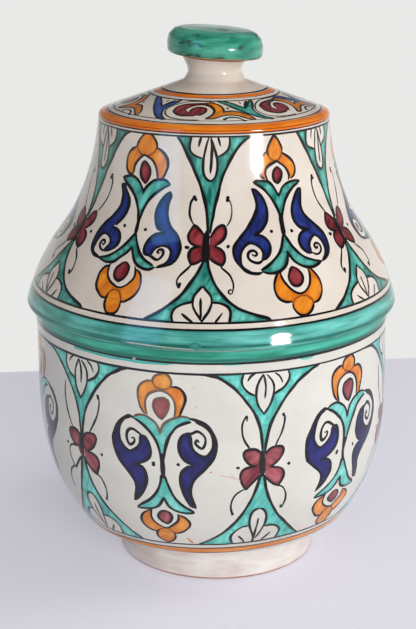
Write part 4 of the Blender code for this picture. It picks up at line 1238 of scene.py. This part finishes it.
# A zone: the length it ends at, its colour, how far it is glazed and how streaky it is; a strip: from, to, widest row
lidZones = [(lidRef + 1.4, "lidGround", 1.0, 0.0), (1e6, "inside", 1.0, 0.0)]
lidStrips = [(0.0, lidRef - lidValues["band"][1], 1.6), (lidRef - lidValues["band"][0], float(lidLine.s[-1]), 4.0)]
lidSheet = flatSheet("bell_lid", lidLine, lidRef, lidPaint, lidZones, lidValues["band"], lidStrips)
lidPiece = turnForm("bell_lid", lidSheet, lidLine, lidFinish,
                    {"Lean": lidValues["lean"], "Pivot height": lidValues["pivot"]})
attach(lidPiece, "lid")
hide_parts("lid")

# The jar

jarValues = {
    "footTop": (62.2, 21.2),
    "lean": -0.0115,
    "pivot": 160.0 * mm,
    "band": (18.0, 166.5),
    "footDrawnIn": 1.9,             # mm off the foot's radius
    "footSlide": 1.9 * mm,          # and it sits off the middle
    "footFades": (21.0, 27.0),      # mm; full below the first height, none above the second
}
jarLine = Outline("jar_body")
jarLine.bend(jarValues["footDrawnIn"], 0.0, 57.5, *jarValues["footFades"])
jarPaint = Painting(jarLine, jarLine.nearest(*jarValues["footTop"]))
jarColours = {"ground": "jarGround", "teal": "tealJar", "orange": "orangeJar", "maroon": "maroonJar",
              "cobalt": "cobaltJar", "crownInk": "ink"}
paleColours = {**jarColours, "teal": "tealPale"}
wornColours = {**paleColours, "crownInk": "inkWorn"}
jarTilt = 4.4       # mm; the lowest rings were brushed out of true
for seed, angle in enumerate((-45, 75.5, 135.5, 195.5, 255.5, 15.5)):
    trails, amount = (jarSpandrel, 0.12) if angle == 15.5 else (jarSideSpandrel, 0.35)
    side = onSide(jarPaint, angle, jarTilt, 15.5)
    drawUnit(jarPaint, side, trails, spandrelRecipe, 200 + seed, jarColours, amount, jarLift)
# One wing at the left was never filled in
drawUnit(jarPaint, onSide(jarPaint, -45, jarTilt, 15.5), jarSpandrel,
         [("wash", "ground", "wingLowLeft", (1, 0)), ("line", "ink", 1.3, "wingLowLeft")], 206, jarColours)
for seed, (angle, right, amount) in enumerate(((-15.5, False, 0.05), (46, True, 0.05), (-75.5, True, 0.3),
                                               (105.6, False, 0.4), (165.2, True, 0.4), (224.9, False, 0.4))):
    worn = angle == -15.5
    side = onSide(jarPaint, angle, jarTilt, 46 if right else -15.5)
    drawUnit(jarPaint, side, jarMotif, motifRecipe, 240 + seed, wornColours if worn else paleColours, amount,
             jarRightShifts if right else jarLift)
    if worn:        # the crown there is rubbed, and the brush left stray marks
        drawUnit(jarPaint, side, jarMotif, wornRecipe, 250, jarColours, amount, jarLift)
        drawUnit(jarPaint, side, strayMarks, strayRecipe, 251, jarColours, amount)
jarPaint.ring(158.6, 166.2, "rimGreenJar", 0.2)
jarPaint.ring(159.4, 161.2, "rimGreenDark", 0.5, seed=30)
jarPaint.ring(152.1, 158.6, "jarGround", 0.1)
drawUnit(jarPaint, onSide(jarPaint, -15.5), jarSpills,
         [("wash", "tealJar", "spill", (1, 0)), ("spots", "tealPale", "drips")], 260, {}, 0.0)
jarPaint.ring(157.9, 159.3, "ink", 0.25, seed=31)
jarPaint.ring(151.4, 152.8, "ink", 0.25, seed=32)
drawUnit(jarPaint, onSide(jarPaint, -15.5), jarSpills, [("dots", "worn", 0.9, "chip")], 261, {}, 0.0)
jarPaint.ring(24.0, 35.4, "jarGround", 0.1, tilt=jarTilt)
jarPaint.ring(34.7, 36.1, "ink", 0.2, tilt=jarTilt, seed=33)
jarPaint.ring(26.4, 31.0, "orangeJar", 0.2, tilt=jarTilt, seed=35)
jarPaint.ring(30.8, 32.0, "ink", 0.2, tilt=jarTilt, seed=34)
jarPaint.ring(25.7, 26.4, "inkThin", 0.2, tilt=jarTilt, seed=36)

jarRef = jarPaint.reference
jarZones = [(jarRef - 166.3, "inside", 1.0, 0.0), (jarRef - 23.5, "jarGround", 1.0, 0.0),
            (jarRef + 19.6, "foot", 1.0, 1.0), (1e6, "clay", 0.0, 0.0)]
jarStrips = [(0.0, jarRef - jarValues["band"][1], 4.0), (jarRef - jarValues["band"][0], float(jarLine.s[-1]), 2.0)]
jarSheet = flatSheet("jar_bowl", jarLine, jarRef, jarPaint, jarZones, jarValues["band"], jarStrips)
jarPiece = turnForm("jar_bowl", jarSheet, jarLine, jarFinish,
                    {"Lean": jarValues["lean"], "Pivot height": jarValues["pivot"], "Slide": jarValues["footSlide"],
                     "Tilt from": jarValues["footFades"][1] * mm,
                     "Tilt over": (jarValues["footFades"][0] - jarValues["footFades"][1]) * mm})
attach(jarPiece, "jar")
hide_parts("jar_body")

# The knob

knobValues = {
    "lipRaised": 1.6,               # mm; the cap is a little flatter than its plan
    "lean": 0.0149,
    "pivot": 170.0 * mm,
}
knobLine = Outline("knob")
knobLine.bend(0.0, knobValues["lipRaised"], 20.6, 318.0, 326.0)
knobZones = [(1e6, "lidGround", 1.0, 0.0)]
knobSheet = flatSheet("cap_knob", knobLine, 0.0, None, knobZones, None, [(0.0, float(knobLine.s[-1]), 1.2)])
knobPiece = turnForm("cap_knob", knobSheet, knobLine, capFinish,
                     {"Lean": knobValues["lean"], "Pivot height": knobValues["pivot"], "Tilt": knobFinish["tilt"],
                      "Tilt from": 315.0 * mm, "Tilt over": 1.0 * mm, "Drop": knobFinish["drop"]})
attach(knobPiece, "lid")
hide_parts("knob")

# The stage, the lamps and the camera

stageValues = {
    "table": (222, 220, 231),       # what its light on the jar is coloured by
    "tableSeen": (240, 239, 251),   # what the camera and the glaze see
    "wall": (233, 234, 232),
    "wallLine": (0.351, 0.108),     # metres behind the jar, and its slope to the right
    "wallSharpness": 400.0,
    "tableGlow": 0.36,              # how far the table shows its own colour; the rest keeps the shadow
    "roughness": 0.5,
    "grain": 0.1,                   # how much the roughness changes
    "sheen": 0.15,
    "size": 9.0,
}


def seenDirectly(maker):
    # 1 for the rays that show a background: camera, glossy and transmission
    path = maker.add("ShaderNodeLightPath").outputs
    return (maker.value(path["Is Camera Ray"]) + maker.value(path["Is Glossy Ray"])
            + maker.value(path["Is Transmission Ray"])).clamp()


def makeFloor(values):
    # One pale sheet: the table up to a line behind the jar, then the wall's own colour
    size = values["size"]
    mesh = bpy.data.meshes.new("floor")
    mesh.from_pydata([(-size, -size, 0), (size, -size, 0), (size, size, 0), (-size, size, 0)], [], [(0, 1, 2, 3)])
    floor = bpy.data.objects.new("floor", mesh)
    bpy.context.scene.collection.objects.link(floor)
    material, maker = newMaterial("pale table")
    spot = maker.add("ShaderNodeTexCoord").outputs["Object"]
    place = maker.add("ShaderNodeSeparateXYZ", Vector=spot).outputs
    x, y = maker.value(place[0]), maker.value(place[1])
    beyond = ((y - x * values["wallLine"][1] - values["wallLine"][0]) * values["wallSharpness"] + 0.5).clamp()
    rough = values["roughness"] + maker.noise(spot, 60.0, 3.0) * values["grain"]
    seen = seenDirectly(maker)
    table, tableSeen, wall = (linearColour(values[title]) for title in ("table", "tableSeen", "wall"))
    shader = maker.add("ShaderNodeBsdfPrincipled", Base_Color=maker.blend(seen, table, tableSeen), Roughness=rough,
                       Specular_IOR_Level=values["sheen"])
    glow = maker.add("ShaderNodeEmission", Color=maker.blend(beyond, tableSeen, wall), Strength=1.0)
    share = (beyond + (1.0 - beyond) * values["tableGlow"]) * seen
    shown = maker.add("ShaderNodeMixShader", _0=share, _1=shader.outputs[0], _2=glow.outputs[0])
    maker.add("ShaderNodeOutputMaterial", Surface=shown.outputs[0])
    mesh.materials.append(material)


# Each lamp: degrees round from the front and up from the floor, metres away, width and height, watts, colour
lampValues = {
    "key": {"turn": 14, "rise": 16, "away": 1.9, "size": (0.8, 0.8), "power": 20, "colour": (1.0, 0.99, 0.97)},
    "side": {"turn": 92, "rise": 22, "away": 1.9, "size": (0.9, 0.9), "power": 14, "colour": (1.0, 0.99, 0.97)},
    "above": {"turn": 30, "rise": 75, "away": 1.9, "size": (0.9, 0.9), "power": 3, "colour": (1.0, 1.0, 1.0)},
    "window": {"turn": -42, "rise": 19, "away": 1.6, "size": (0.6, 1.4), "power": 6.5, "colour": (0.22, 0.56, 1.0),
               "shines": True},
    "strip": {"turn": 40, "rise": 11, "away": 1.0, "size": (0.2, 0.2), "power": 3.8, "colour": (1.0, 1.0, 1.0),
              "shines": True, "shape": "ELLIPSE"},
}
# The room is pale along the horizon and dimmer above; its light on the jar is even
worldValues = {"low": (232, 232, 230), "high": (110, 112, 116), "paleUpTo": 0.02, "dims": 4.0, "light": 0.27}


def makeLights():
    middle = Vector((0, 0, 0.17))
    for name, values in lampValues.items():
        light = bpy.data.lights.new(name, "AREA")
        light.shape = values.get("shape", "RECTANGLE")
        light.size, light.size_y = values["size"]
        light.energy, light.color = values["power"], values["colour"]
        lamp = bpy.data.objects.new(name, light)
        turn, rise = math.radians(values["turn"]), math.radians(values["rise"])
        way = Vector((math.sin(turn) * math.cos(rise), -math.cos(turn) * math.cos(rise), math.sin(rise)))
        lamp.location = middle + way * values["away"]
        lamp.rotation_euler = (-way).to_track_quat("-Z", "Y").to_euler()
        lamp.visible_glossy = "shines" in values        # such a lamp only glints in the glaze, the others only light it
        lamp.visible_diffuse = "shines" not in values
        bpy.context.scene.collection.objects.link(lamp)
    world = bpy.data.worlds.new("pale room")
    bpy.context.scene.world = world
    world.use_nodes = True
    world.node_tree.nodes.clear()
    maker = NodeMaker(world.node_tree)
    way = maker.add("ShaderNodeSeparateXYZ", Vector=maker.add("ShaderNodeTexCoord").outputs["Object"]).outputs
    rise = ((maker.value(way[2]) - worldValues["paleUpTo"]) * worldValues["dims"]).clamp()
    colour = maker.blend(rise, linearColour(worldValues["low"]), linearColour(worldValues["high"]))
    light = maker.add("ShaderNodeBackground", Color=(1, 1, 1, 1), Strength=worldValues["light"])
    view = maker.add("ShaderNodeBackground", Color=colour, Strength=1.0)
    mixed = maker.add("ShaderNodeMixShader", _0=seenDirectly(maker), _1=light.outputs[0], _2=view.outputs[0])
    maker.add("ShaderNodeOutputWorld", Surface=mixed.outputs[0])


cameraValues = {"at": (-0.0020, -0.906, 0.428), "pitch": 73.13, "lens": 85.68, "sensor": 36.0}


def makeCamera(values):
    data = bpy.data.cameras.new("camera")
    data.lens, data.sensor_width = values["lens"], values["sensor"]
    data.clip_start, data.clip_end = 0.01, 50
    camera = bpy.data.objects.new("camera", data)
    camera.location = values["at"]
    camera.rotation_euler = (math.radians(values["pitch"]), 0, 0)
    bpy.context.scene.collection.objects.link(camera)
    bpy.context.scene.camera = camera


makeFloor(stageValues)
makeLights()
makeCamera(cameraValues)
bpy.context.scene.view_settings.view_transform = "Standard"
print("stage, lamps and camera are in place")

bpy.context.view_layer.update()
